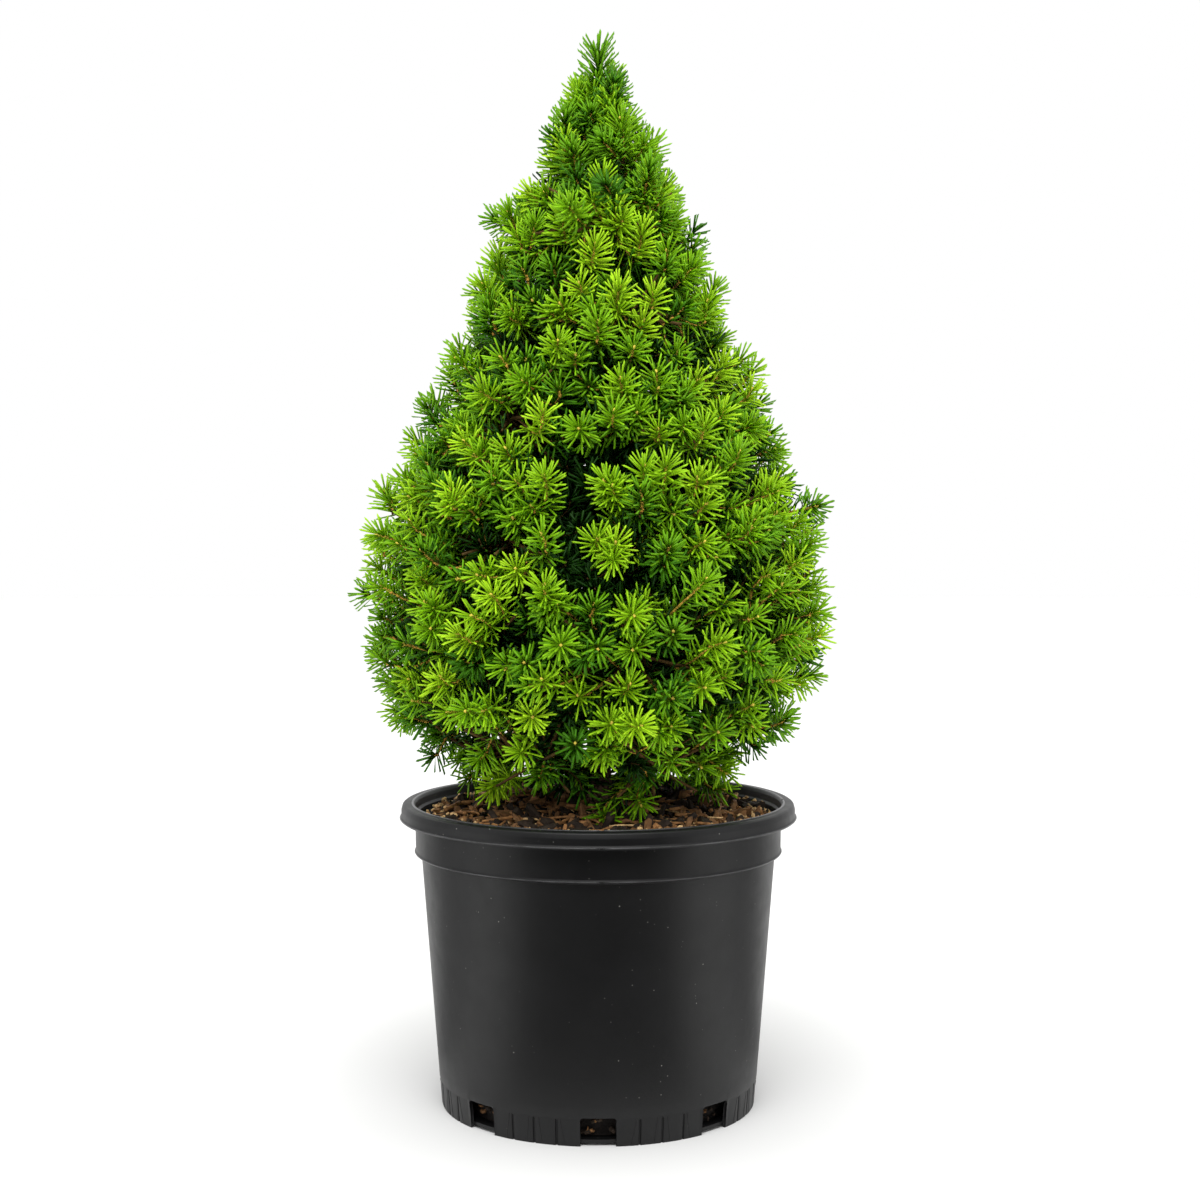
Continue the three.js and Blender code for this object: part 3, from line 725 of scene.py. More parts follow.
class SPRUCE_OT_pot(bpy.types.Operator):
    """Turns the pot's section, leaves its drain holes open and presses in the foot's grooves"""

    bl_idname = "spruce.pot"
    bl_label = "Nursery pot"

    def execute(self, context):
        s = context.scene.spruce_pot
        half_hole = s.drain_width / 2 / BASE_RADIUS
        material = plastic_material(s.black, s.dust)
        pot = piece("nursery_pot", self.body(s, half_hole), material)
        soften(pot)
        for v in pot.data.vertices:
            v.co.z = max(v.co.z, 0)
        floor = piece("pot_floor", self.floor(s.wall), material, smooth=False)
        lines = piece("mould_lines", self.mould_lines(half_hole), material)
        # Paler beads paint highlight lines along the pot's edges.
        edges = piece("rubbed_edges", self.rubbed_edges(), highlight_line_material(s.rubbed))
        for made in (pot, floor, lines, edges):
            keep(made, "moulded_plastic", "pot")
        return {"FINISHED"}

    def body(self, s, half_hole):
        """Columns of the section round the axis, open where a drain hole is."""
        low, outside, foot = pot_outline(s.wall, s.drain_top)
        outline = np.array(low + outside + foot)
        angles, depths = pot_columns(half_hole)
        across_hole = len(HOLE_COLUMNS) - 1
        hole = np.tile(np.arange(len(angles)) < across_hole, DRAIN_HOLES)
        count, rows = len(hole), len(outline)
        top, under = len(low) - 1, rows - len(low)  # the edge over a hole, outside and inside

        radius, height = (np.repeat(values[None], count, axis=0) for values in outline.T)
        radius[:, : top - 1] -= np.tile(depths * s.groove_depth, DRAIN_HOLES)[:, None]
        dip = np.zeros(len(angles))
        dip[: across_hole + 1] = HOLE_CORNER
        near_top = np.isin(outline[:, 1], [z for _, z in low[-3:]])
        height[:, near_top] -= np.tile(dip, DRAIN_HOLES)[:, None]
        vertices = on_circle(radius, (HOLE_ANGLES[:, None] + angles).reshape(-1, 1), height)

        grid = np.arange(count * rows).reshape(count, rows)
        faces = []
        for c, (here, there) in enumerate(zip(grid, np.roll(grid, -1, axis=0))):
            for k in range(rows):
                j = (k + 1) % rows
                if not hole[c] or top <= k < under:
                    faces.append((here[k], there[k], there[j], here[j]))
            if hole[c]:
                faces.append((here[top], here[under], there[under], there[top]))
            if hole[c] != hole[c - 1]:
                side = [(here[k], here[k + 1], here[-k - 2], here[-k - 1]) for k in range(top)]
                faces += side if hole[c] else [face[::-1] for face in side]
        return vertices.reshape(-1, 3), faces

    def floor(self, wall):
        edge = wall_radius(FLOOR_TOP) - wall - 0.1
        section = [(0, FLOOR_BOTTOM), (edge, FLOOR_BOTTOM), (edge, FLOOR_TOP), (0, FLOOR_TOP)]
        return turned(section, 96)

    def mould_lines(self, half_hole):
        """Hair-thin ridges on the foot, a little aslant, on both sides of each drain hole."""
        z = np.linspace(GROOVE_TOP, MOULD_LINE_FOOT, 5)
        paths = []
        for middle in HOLE_ANGLES:
            for side in (-1, 1):
                for top, foot in MOULD_LINES:
                    away = half_hole + np.linspace(top, foot, len(z)) / BASE_RADIUS
                    paths.append(on_circle(wall_radius(z), middle + side * away, z))
        return tubes(paths, even(paths, MOULD_LINE_RADIUS, MOULD_LINE_RADIUS), 5)

    def rubbed_edges(self):
        """Thin paler beads along the edges, as painted highlight lines."""
        angle = np.linspace(0, TURN, 193)
        paths = [on_circle(r, angle, z) for r, z, _ in PAINTED_HIGHLIGHTS]
        radii = np.repeat([[thick] for _, _, thick in PAINTED_HIGHLIGHTS], len(angle), axis=1)
        return tubes(paths, radii, 6)


# ---- The potting mix ----

MIX_AT_WALL = 174
MIX_AT_TRUNK = 178.7
MIX_EDGE_RADIUS = BAND_RADIUS - 4
MIX_FLAT_RADIUS = 17  # level ground round the trunk
MIX_LUMPS = 2.2
MIX_LUMP_SIZE = 7
HOLLOW = 7  # the mix has fallen back this far behind the drain holes
HOLLOW_HEIGHTS = (4.2, 17)
CHIP_CORNERS = 7
# Kinds of chips: name, colour, how many, their lengths, their width as a share of that, how many
# small ones have come to rest behind each drain hole, and how many more lie along the wall.
CHIPS = [
    ("bark_chips_dark", "dark", 480, (8, 26), 0.46, 9, 0),
    ("bark_chips_brown", "brown", 430, (8, 24), 0.38, 9, 0),
    ("bark_chips_red", "red", 230, (6, 18), 0.42, 0, 0),
    ("mix_grains", "tan", 260, (1.6, 3.6), 0.85, 0, 300),
]
EDGE_GRAINS = {"lengths": (2.4, 5), "slim": 0.9, "inner": 0.87, "lift": 1.8}
HOLE_CHIPS = {"lengths": (3, 8), "slim": 0.7}
# Where those behind a drain hole lie: angle from its middle, distance from the axis and height.
HOLE_CHIP_PLACES = [(-0.11, 0.11), (83, 88.5), (5.5, 14)]
# Kinds of slivers: name, colour, how many, their lengths, radii and heights above the mix.
SLIVERS = [
    ("splinters_brown", "red", 100, (12, 38), (0.7, 1.6), (2.2, 5.0)),
    ("splinters_tan", "tan", 40, (8, 24), (0.4, 0.8), (2.2, 4.6)),
]


def mix_height(r):
    share = np.clip((MIX_EDGE_RADIUS - r) / (MIX_EDGE_RADIUS - MIX_FLAT_RADIUS), 0, 1)
    return lerp(MIX_AT_WALL, MIX_AT_TRUNK, np.sin(share * math.pi / 2))


def rotation(angle, i, j):
    """A turn in the plane of two axes."""
    made = np.eye(3)
    made[i, i] = made[j, j] = math.cos(angle)
    made[j, i] = math.sin(angle)
    made[i, j] = -made[j, i]
    return made


class SPRUCE_OT_mix(bpy.types.Operator):
    """Lays the crumbly bed of potting mix and strews its chips, splinters and grains"""

    bl_idname = "spruce.mix"
    bl_label = "Potting mix"

    def execute(self, context):
        s = context.scene.spruce_mix
        self.rng = np.random.default_rng(5)
        # The bed's near-black compost also paints shade between the chips and behind the drain holes.
        compost = chip_material("compost", s.crumbs_and_shade, 1.5)
        keep(self.bed(context.scene.spruce_pot.wall, compost), "bark_mix", "potting_mix")
        for name, tint, count, lengths, slim, behind, along_wall in CHIPS:
            chips = [self.chip(lengths, slim) for _ in range(count)]
            chips += [self.chip(**EDGE_GRAINS) for _ in range(along_wall)]
            chips += self.behind_holes(behind)
            material = chip_material(name, getattr(s, tint), 1.2)
            keep(piece(name, self.gathered(chips), material, smooth=False), "bark_mix")
        for name, tint, *sizes in SLIVERS:
            material = chip_material(name, getattr(s, tint), 0.8)
            keep(piece(name, self.splinters(*sizes), material), "bark_mix")
        return {"FINISHED"}

    def bed(self, wall, material):
        """The ground itself, from the pot's floor up, with its lumps."""
        edge = BAND_RADIUS - wall - GAP
        floor = FLOOR_TOP + GAP
        hollow = [(wall_radius(z) - wall - HOLLOW, z) for z in np.linspace(*HOLLOW_HEIGHTS, 12)]
        section = [(0, floor), (hollow[0][0], floor), *hollow]
        section += [(wall_radius(19) - wall - GAP, 19), (wall_radius(150) - wall - 2 * GAP, 150)]
        section += [(edge - GAP, 160)]
        section += [(r, mix_height(r)) for r in np.linspace(edge - GAP, 1, 70)]
        section += [(0, mix_height(0))]
        made = piece("potting_mix_bed", turned(section, 220), material)
        for v in made.data.vertices:
            p = v.co / MM
            lump = noise.fractal(p / MIX_LUMP_SIZE, 0.6, 2.2, 4)
            if p.z > 165 and math.hypot(p.x, p.y) < edge - 2:
                v.co.z += MIX_LUMPS * MM * lump
            elif 5 < p.z < 18:
                v.co.xy *= 1 + 0.02 * lump
        return made

    def behind_holes(self, count):
        """Small chips that have come to rest behind each drain hole."""
        found = []
        for middle in HOLE_ANGLES:
            for _ in range(count):
                chip = self.chip(**HOLE_CHIPS)
                angle, r, z = (self.rng.uniform(*limits) for limits in HOLE_CHIP_PLACES)
                found.append(chip - chip.mean(axis=0) + on_circle(r, middle + angle, z))
        return found

    def chip(self, lengths, slim, inner=0.1, lift=0.0):
        """One broken slab: a rough outline with a bevelled top, turned and laid on the bed."""
        rng = self.rng
        corners = CHIP_CORNERS
        length = rng.uniform(*lengths) * rng.uniform(0.6, 1)
        width = length * rng.uniform(0.6, 1.2) * slim
        thick = max(1.1, width * rng.uniform(0.3, 0.7))
        angle = (np.arange(corners) + rng.uniform(-0.3, 0.3, corners)) * TURN / corners
        outline = np.stack([np.cos(angle) * length / 2, np.sin(angle) * width / 2], -1)
        outline *= rng.uniform(0.65, 1.1, corners)[:, None]
        # The slab's lower, middle and upper outline: its share, height and unevenness.
        layers = [(0.9, -thick / 2, 0.12), (1, 0, 0.15), (0.78, thick / 2, 0.15)]
        points = np.concatenate(
            [
                np.column_stack([outline * share, rng.normal(z, thick * uneven, corners)])
                for share, z, uneven in layers
            ]
        )
        points[:, 2] += rng.normal(0, 0.35) * points[:, 0] ** 2 / length
        tip, roll = rng.normal(0, 0.55, 2)
        spin = rng.uniform(0, TURN)
        points = points @ (rotation(spin, 0, 1) @ rotation(tip, 2, 0) @ rotation(roll, 1, 2)).T
        r = (BAND_RADIUS - 5 - length / 2) * math.sqrt(rng.uniform(inner**2, 1))
        around = rng.uniform(0, TURN)
        height = float(mix_height(r)) + rng.uniform(-0.6, 3.4) + lift
        return points + on_circle(r, around, height)

    def gathered(self, chips):
        """All chips of a kind as one mesh."""
        grid = np.arange(3 * CHIP_CORNERS).reshape(3, CHIP_CORNERS)
        sides, ends = bands(grid), [grid[0, ::-1], grid[2]]
        faces = (repeated(f, len(chips), grid.size) for f in (sides, ends))
        return np.concatenate(chips), *faces

    def splinters(self, count, lengths, thickness, lifts):
        """Thin, bent slivers of wood that lie across the chips."""
        rng = self.rng
        length = rng.uniform(*lengths, count)
        r = (BAND_RADIUS - 8 - length / 2) * np.sqrt(rng.uniform(0.02, 1, count))
        around, heading = rng.uniform(0, TURN, (2, count))
        t = np.linspace(-0.5, 0.5, 6)
        bend = rng.normal(0, 0.2, count)[:, None] * (t**2 * 4 - 0.3) * length[:, None]
        along = t * length[:, None]
        c, s = np.cos(heading)[:, None], np.sin(heading)[:, None]
        x = (r * np.cos(around))[:, None] + along * c - bend * s
        y = (r * np.sin(around))[:, None] + along * s + bend * c
        lift = rng.uniform(*lifts, count)[:, None] + rng.normal(0, 0.08, count)[:, None] * along
        z = mix_height(np.hypot(x, y)) + lift
        radii = rng.uniform(*thickness, count)[:, None] * (1 - 0.8 * t**2)
        return tubes(np.stack([x, y, z], -1), radii, 5)


# ---- The trunk and its boughs ----


class SPRUCE_OT_wood(bpy.types.Operator):
    """Grows the trunk and the boughs with flaking bark in their meshes"""

    bl_idname = "spruce.wood"
    bl_label = "Trunk and boughs"

    def execute(self, context):
        s = context.scene.spruce_wood
        bark = bark_material(s.bark, s.furrow)
        heights = np.linspace(0, 1, 190) ** 1.2 * (TRUNK_TOP - TRUNK_FOOT) + TRUNK_FOOT
        path = np.array([trunk_at(z) for z in heights])
        radii = np.array([trunk_radius(z) for z in heights])
        trunk = rough_tube(path, radii, sides=36, relief=0.55, scale_size=3.6)
        trunk[0][:, 2] = np.maximum(trunk[0][:, 2], TRUNK_FOOT)
        keep(piece("trunk_bark", trunk, bark), "bark", "trunk")
        boughs = []
        for space in spaces():
            path = curve(space.bough, 22)
            radii = space.bough_radius * np.linspace(1, BOUGH_TAPER, len(path))
            boughs.append(rough_tube(path, radii, sides=12, relief=0.3, scale_size=2.6))
        keep(piece("bough_bark", joined(boughs), bark), "bark", *BOUGHS)
        return {"FINISHED"}


# ---- Twigs, shoots and needles ----

# Height, and the climb of the shoots there in degrees: level below, upright at the top.
CLIMB = [(185, -26), (225, -4), (265, 14), (320, 30), (400, 48), (480, 60), (560, 70), (644, 84)]
# Height, and how many times longer this year's growth is there than on the flanks.
VIGOUR = [(430, 1.0), (540, 2.1), (620, 2.4)]
# Shells of older shoots inside the crown: share of its radius, and the shoots' spacing in it.
INNER_SHELLS = [(0.82, 26), (0.64, 26), (0.44, 26), (0.24, 24)]
INNER_DEPTH = 19  # the inner shoots stay this far inside the crown's outline
INNER_FROM = 7
INNER_SHOOT = 34
SHADED_BELOW = 285  # many of the sprays under this height have a deeper tint
SHADED_CHANCE = 0.6
SKIRT_HEIGHT = 227  # below this the crown is thin
SKIRT_CHANCE = 0.22
SKIRT_INNER_CHANCE = 0.14
SKIRT_RADII = (42, 76)
MAIN_TWIG_ENDS = 0.84  # share of the crown's radius
MAIN_TWIG_ROOTS = (0.3, 0.95)  # shares of a stem's way
OUTER_ROOTS = (3, 7)  # the steps of a main twig where the crown's outer twigs branch off
INNER_ROOTS = (0, 4)
TIP_DEPTHS = (1, 11)  # how far the shoots end inside the outline: the least, and the scatter
SIDE_TUFT_CHANCE = 0.25
SIDE_TUFT_SHARE = 0.8
SIDE_REACH = (3, 7)  # how far tufts stand beside a node, and beside the older growth under it
OLDER_REACH = (9, 16)
OLDEST_OUTSIDE = 4  # the darkest tint, by its place among the tints, of a shoot at the surface
# Round the leader: height of the whorl, its number of shoots, and how far they rise.
LEADER_WHORLS = [(546, 5, 28), (558, 5, 28), (570, 4, 27), (582, 4, 24), (594, 3, 20)]
FINE_STEPS = 6
SHOOT_STEPS = 7
STEM_STEPS = 8
TWIG_STEPS = 9


def growth_direction(point, rng, wander=0.26):
    """Which way a shoot grows: outwards, and more and more upwards towards the top."""
    climb = math.radians(at_height(point[2], CLIMB)) + rng.normal(0, wander)
    around = math.atan2(point[1], point[0]) + rng.normal(0, wander)
    return on_circle(math.cos(climb), around, math.sin(climb))


def slanted(heading, angle, slope):
    """A direction that leans away from a heading, at an angle round it."""
    side, other = frames(heading[None, None])
    out = side[0, 0] * math.cos(angle) + other[0, 0] * math.sin(angle)
    return unit(heading * math.cos(slope) + out * math.sin(slope))


def resampled(path, steps):
    at = np.linspace(0, len(path) - 1, steps)
    return np.stack([np.interp(at, np.arange(len(path)), path[:, k]) for k in range(3)], -1)


class Growth:
    """Every twig and shoot of the crown, as paths.

    Stems go on from the boughs and main twigs branch from the stems as in the frame. Finer
    twigs branch from those by the same rule at a closer spacing. A fine twig ends in last
    year's growth, a node with a ring of bud scales, and a short tuft of this year's.
    """

    def __init__(self, spacing, new_length, past_length, seed):
        self.spacing, self.new_length, self.past_length = spacing, new_length, past_length
        self.rng = np.random.default_rng(seed)
        self.stems, self.twigs, self.fine, self.shoots, self.nodes = [], [], [], [], []
        for space in spaces():
            self.fill(space)
        self.leader()

    def tone(self, kind):
        """A tint for a spray, as its place in the list of tints."""
        return int(self.rng.choice(len(TINTS), p=NEEDLES[kind][0]))

    def shoot(self, path, kind, tone):
        tone = tone if kind == "inner" else min(tone, OLDEST_OUTSIDE)
        self.shoots.append((resampled(path, SHOOT_STEPS), kind, tone))

    def tuft(self, joint, heading, kind, tone, share=1.0):
        """This year's short growth above a node."""
        length = self.new_length * at_height(joint[2], VIGOUR) * self.rng.uniform(0.6, 1.7) * share
        bend = slanted(heading, self.rng.uniform(0, TURN), 0.15)
        line = [joint, joint + heading * length / 2, joint + bend * length]
        self.shoot(curve(line, STEM_STEPS), kind, tone)
        self.nodes.append((joint, heading, share))

    def branch(self, start, lean, tip, kind, past_kind):
        """A fine twig from a limb to a node near its tip, with the growth on it."""
        rng = self.rng
        heading = growth_direction(tip, rng)
        joint = tip - heading * (self.new_length * at_height(tip[2], VIGOUR) + 5)
        length = np.linalg.norm(joint - start)
        bends = [start, start + lean * length * 0.3, joint - heading * length * 0.4, joint]
        past = 1 - min(self.past_length * rng.uniform(0.8, 1.3), 0.85 * length) / length
        tone = self.tone(kind) + int(tip[2] < SHADED_BELOW and rng.random() < SHADED_CHANCE)
        self.fine.append(curve(bends, FINE_STEPS))
        self.shoot(curve(bends, SHOOT_STEPS, past), past_kind, tone + 1)
        self.tuft(joint, heading, kind, tone)

        def side_tuft(root, side, reach):
            heading_there = unit(side + heading)
            self.tuft(root + side * reach, heading_there, "side", tone + 1, SIDE_TUFT_SHARE)

        spin = rng.uniform(0, TURN)
        if rng.random() < SIDE_TUFT_CHANCE:
            side = slanted(heading, spin, rng.uniform(0.9, 1.2))
            reach = rng.uniform(*SIDE_REACH)
            root = joint - heading * 4
            self.fine.append(root + side * np.linspace(0, reach, FINE_STEPS)[:, None])
            side_tuft(root, side, reach)
        older = bezier(bends, past)
        for _ in range(rng.integers(0, 2)):
            side = slanted(heading, spin + 1.5, rng.uniform(0.8, 1.1))
            reach = rng.uniform(*OLDER_REACH)
            line = older + side * np.linspace(0, reach, SHOOT_STEPS)[:, None]
            self.shoot(line, past_kind, tone + 2)
            side_tuft(older, side, reach)

    def fill(self, space):
        """The twigs and shoots of one mass, out from its stem."""
        rng = self.rng
        stem = curve(space.stem, STEM_STEPS)
        self.stems.append((stem, space.bough_radius * BOUGH_TAPER))
        lean = unit(space.stem[2] - space.stem[1])
        mains = []
        for across, up, out in space.twigs:
            root = bezier(space.stem, rng.uniform(*MAIN_TWIG_ROOTS))
            tip = space.point(across, up, space.outline(up) * out * MAIN_TWIG_ENDS)
            reach = np.linalg.norm(tip - root)
            path = curve([root, root + lean * reach * 0.35, tip], TWIG_STEPS)
            mains.append((across, up, path))
            self.twigs.append(path)

        def nearest(across, up):
            return min(mains, key=lambda m: (m[0] - across) ** 2 + (m[1] - up) ** 2)[2]

        least, scatter = TIP_DEPTHS
        for across, up, out in space.ends(self.spacing, rng.random, 0.9, rise_jitter=2):
            r = space.outline(up) * out - least - scatter * rng.random()
            tip = space.point(across, up, r)
            if tip[2] > SKIRT_HEIGHT or rng.random() < SKIRT_CHANCE:
                main = nearest(across, up)
                k = rng.integers(*OUTER_ROOTS)
                self.branch(main[k], unit(main[k + 1] - main[k]), tip, "new", "past")
        for share, spacing in INNER_SHELLS:
            for across, up, out in space.ends(spacing, rng.random, 0.8, rise_jitter=2):
                outline = space.outline(up)
                r = min(share * out * outline, outline - INNER_DEPTH)
                tip = space.point(across, up * 1.15, r)
                thin = tip[2] < SKIRT_HEIGHT + 2 and rng.random() > SKIRT_INNER_CHANCE
                if not thin and r >= INNER_FROM:
                    self.inner_shoot(nearest(across, up)[rng.integers(*INNER_ROOTS)], tip)
        if space.tier == 0:
            self.skirt(space)

    def inner_shoot(self, start, tip):
        """An old shoot in the crown's shade."""
        heading = growth_direction(tip, self.rng, wander=0.4)
        bends = [start, tip - heading * 15, tip]
        self.fine.append(curve(bends, FINE_STEPS))
        length = max(np.linalg.norm(tip - start), 1)
        past = 1 - min(INNER_SHOOT, 0.8 * length) / length
        self.shoot(curve(bends, SHOOT_STEPS, past), "inner", self.tone("inner"))

    def skirt(self, space):
        """Thin low shoots between the trunk and the lowest boughs' tips."""
        rng = self.rng
        for r in SKIRT_RADII:
            low = space.point(rng.uniform(-0.8, 0.8), -0.3, r * rng.uniform(0.9, 1.1))
            start = bezier(space.stem, 0.1)
            self.branch(start, unit(low - start), low, "side", "past")

    def leader(self):
        """The top: an upright shoot with whorls of steep side shoots round its nodes."""
        rng = self.rng
        foot = trunk_at(TRUNK_TOP)
        top = np.array([0, 0, CROWN_TOP - 12])
        line = [foot, (foot + top) / 2 + [1.2, -0.8, 0], top]
        stem = curve(line, 24)
        self.stems.append((resampled(stem[:13], STEM_STEPS), TRUNK_TOP_RADIUS))
        self.shoot(stem[5:13], "past", TINTS.index("green"))
        self.shoot(stem[9:], "leader", self.tone("leader"))
        self.nodes.append((stem[12], unit(top - foot), 1.3))
        self.fine.append(resampled(stem[11:], FINE_STEPS))
        for z, count, gain in LEADER_WHORLS:
            turn = rng.uniform(0, TURN)
            base = trunk_at(z) if z < TRUNK_TOP else bezier(line, (z - TRUNK_TOP) / (top[2] - TRUNK_TOP))
            for k in range(count):
                angle = turn + TURN * (k + rng.uniform(-0.15, 0.15)) / count
                height = z + gain * rng.uniform(0.85, 1.1)
                r = (0.92 * crown_radius(height) - 3) * rng.uniform(0.85, 1.05)
                tip = on_circle(r, angle, height)
                self.branch(base, unit(tip * [1, 1, 0] + [0, 0, 4]), tip, "new", "past")


@functools.cache
def grown(*settings):
    return Growth(*settings)


def growth():
    """The crown that the present settings give, grown once for all the operators."""
    s = bpy.context.scene.spruce_needles
    return grown(s.spacing, s.tuft, s.past_shoot, s.seed)


class SPRUCE_OT_twigs(bpy.types.Operator):
    """Grows the stems and twigs on from the boughs"""

    bl_idname = "spruce.twigs"
    bl_label = "Stems and twigs"

    def execute(self, context):
        s = context.scene.spruce_wood
        plant = growth()
        stems, feet = zip(*plant.stems)
        radii = np.array(feet)[:, None] * np.linspace(1, STEM_TAPER, STEM_STEPS)
        thick = tubes(stems, radii, 7)
        mains = tubes(plant.twigs, even(plant.twigs, 1.4, 0.8), 5)
        small = tubes(plant.fine, even(plant.fine, 0.85, 0.55), 3)
        old = twig_material("old_twig", s.old_twig, 1.0)
        keep(piece("old_twigs", joined([thick, mains, small]), old), "bark", *MASSES)
        fresh = [resampled(path, 4) for path, kind, _ in plant.shoots if kind != "inner"]
        young = twig_material("new_twig", s.new_twig, 0.8)
        keep(piece("new_twigs", tubes(fresh, even(fresh, 0.95, 0.65), 3), young), "bark", *MASSES)
        return {"FINISHED"}


# Radius of a bud from its foot to its tip, for a ring of bud scales at a node.
BUD_SHAPE = np.array([0.6, 1.35, 1.2, 0.4])
NODE_SPAN = np.linspace(-0.9, 1.9, 4)[:, None]  # from below a node to above it
TIP_SPAN = np.linspace(-0.3, 2.4, 4)[:, None]
TIP_BUD_SHARE = 0.85  # of that size


class SPRUCE_OT_buds(bpy.types.Operator):
    """Sets a ring of bud scales at each node, and a small bud at the tip of each new shoot"""

    bl_idname = "spruce.buds"
    bl_label = "Buds"

    def execute(self, context):
        s = context.scene.spruce_wood
        rng = np.random.default_rng(3)
        rings, radii, tips = [], [], []
        for joint, heading, share in growth().nodes:
            rings.append(joint + heading * NODE_SPAN * share)
            radii.append(BUD_SHAPE * rng.uniform(0.75, 1.1) * share)
        for path, kind, _ in growth().shoots:
            if kind == "new":
                heading = unit(path[-1] - path[-2])
                tips.append(path[-1] + heading * TIP_SPAN)
        small = np.tile(BUD_SHAPE * TIP_BUD_SHARE, (len(tips), 1))
        for name, paths, sizes, material in (
            ("buds", rings, radii, twig_material("bud_scales", s.bud, 0.9)),
            ("tip_buds", tips, small, twig_material("tip_bud", s.tip_bud, 0.9)),
        ):
            keep(piece(name, tubes(paths, sizes, 4), material), "bark", *MASSES)
        return {"FINISHED"}


TINTS = ["lightest", "bright", "new", "green", "deep", "inner"]
PLAIN_TINTS = ["green", "deep", "inner"]  # older needles are simple wedges
# For each kind of shoot: the chance of each tint, needles on a mm, how far the needles lean
# from the shoot at its foot and at its tip, and their length there as shares of the longest.
NEEDLES = {
    "leader": ([0, 0, 0, 1, 0, 0], 3.0, (1.2, 0.66), (1.4, 1.12)),
    "new": ([0.16, 0.36, 0.32, 0.16, 0, 0], 3.4, (1.4, 0.4), (1.0, 0.88)),
    "side": ([0.05, 0.25, 0.36, 0.26, 0.08, 0], 3.6, (1.4, 0.5), (0.92, 0.8)),
    "past": ([0, 0.1, 0.3, 0.38, 0.22, 0], 1.15, (1.05, 0.95), (0.95, 1.0)),
    # The inner tint of these shoots is partly painted shade deep in the crown.
    "inner": ([0, 0, 0, 0, 0.2, 0.8], 1.0, (1.2, 0.6), (1.0, 1.0)),
}
FEWEST_NEEDLES = 14  # on a shoot
NEEDLE_BODY = 0.9  # share of a needle's length before its point
NEEDLE_CORNERS = (0.5, 2.64, 4.71)  # a needle's section: a triangle with a flat side up
NEEDLE_DEPTH = 0.84  # a needle's thickness as a share of its width
NEEDLE_FOOT = 0.75  # its width there, as a share
BLADE_SIDES = [[0, 1, 4, 3], [1, 2, 5, 4], [2, 0, 3, 5]]
BLADE_ENDS = [[3, 4, 6], [4, 5, 6], [5, 3, 6], [0, 2, 1]]
WEDGE_SIDES = [[0, 1, 3], [0, 3, 2], [0, 2, 4], [1, 4, 3], [0, 4, 1], [2, 3, 4]]


class SPRUCE_OT_needles(bpy.types.Operator):
    """Sets needles round every shoot in a spiral, and deals their tints out by spray"""

    bl_idname = "spruce.needles"
    bl_label = "Needles"

    def execute(self, context):
        s = context.scene.spruce_needles
        rng = np.random.default_rng(s.seed + 1)
        sprays = {tint: [] for tint in TINTS}
        for path, kind, tone in growth().shoots:
            sprays[TINTS[tone]].append(self.spray(path, kind, s, rng))
        for tint in TINTS:
            material = needle_material("needle_" + tint, getattr(s, tint))
            shaped = self.wedges if tint in PLAIN_TINTS else self.blades
            mesh = shaped(np.concatenate(sprays[tint]), s.width)
            keep(piece("needles_" + tint, mesh, material), "needles", *MASSES)
        return {"FINISHED"}

    def spray(self, path, kind, s, rng):
        """The needles of one shoot: foot, axis, outward direction, lean, curl and length."""
        _, density, leans, shares = NEEDLES[kind]
        steps = np.linalg.norm(np.diff(path, axis=0), axis=1)
        along = np.concatenate([[0], np.cumsum(steps)])
        count = max(FEWEST_NEEDLES, round(along[-1] * density))
        t = (np.arange(count) + rng.uniform(0, 1, count)) / count

        def read(values):
            return np.stack([np.interp(t * along[-1], along, v) for v in values.T], -1)

        axis = unit(read(unit(np.gradient(path, axis=0))))
        side, other = frames(axis[None])
        angle = np.arange(count) * TURN * GOLDEN_TURN + rng.normal(0, 0.12, count)
        out = side[0] * np.cos(angle)[:, None] + other[0] * np.sin(angle)[:, None]
        lean = lerp(*leans, t**1.5) + rng.normal(0, 0.07, count)
        length = s.length * lerp(*shares, t) * rng.uniform(0.88, 1.06, count)
        curl = rng.normal(0.16, 0.12, count)
        return np.column_stack([read(path), axis, out, lean, curl, length])

    def bent(self, rows):
        """Foot, end of the body and tip of each needle, and the two directions across it."""
        foot, axis, out = rows[:, :3], rows[:, 3:6], rows[:, 6:9]
        lean, curl, length = rows[:, 9:10], rows[:, 10:11], rows[:, 11:12]
        first = axis * np.cos(lean) + out * np.sin(lean)
        second = axis * np.cos(lean - curl) + out * np.sin(lean - curl)
        body = foot + first * length * NEEDLE_BODY
        tip = body + second * length * (1 - NEEDLE_BODY)
        across = unit(np.cross(axis, out))
        return foot, body, tip, across, np.cross(across, first)

    def blades(self, rows, width):
        """Needles with a narrow foot, an even width and a short point."""
        foot, body, tip, across, under = self.bent(rows)
        points = [
            centre + (across * math.cos(a) + under * math.sin(a) * NEEDLE_DEPTH) * wide / 2
            for centre, wide in ((foot, width * NEEDLE_FOOT), (body, width))
            for a in NEEDLE_CORNERS
        ]
        vertices = np.stack([*points, tip], 1).reshape(-1, 3)
        return vertices, *(repeated(f, len(rows), 7) for f in (BLADE_SIDES, BLADE_ENDS))

    def wedges(self, rows, width):
        """Plainer needles: a flat foot that thickens to a ridge at a blunt end."""
        foot, body, tip, across, under = self.bent(rows)
        half = across * width / 2
        points = [foot - half, foot + half, body - half, body + half]
        points.append(lerp(body, tip, 0.8) - under * width * 0.5)
        return np.stack(points, 1).reshape(-1, 3), repeated(WEDGE_SIDES, len(rows), 5)


# ---- The stage ----

CAMERA_PLACE = (0, -1234.3, 369.7)
CAMERA_DOWN = 3.0  # degrees below level
CAMERA_TURN = -0.05  # degrees
CAMERA_LENS = 61.34
CAMERA_SENSOR = 36
LAMPS_AIM = 330  # height on the plant's axis
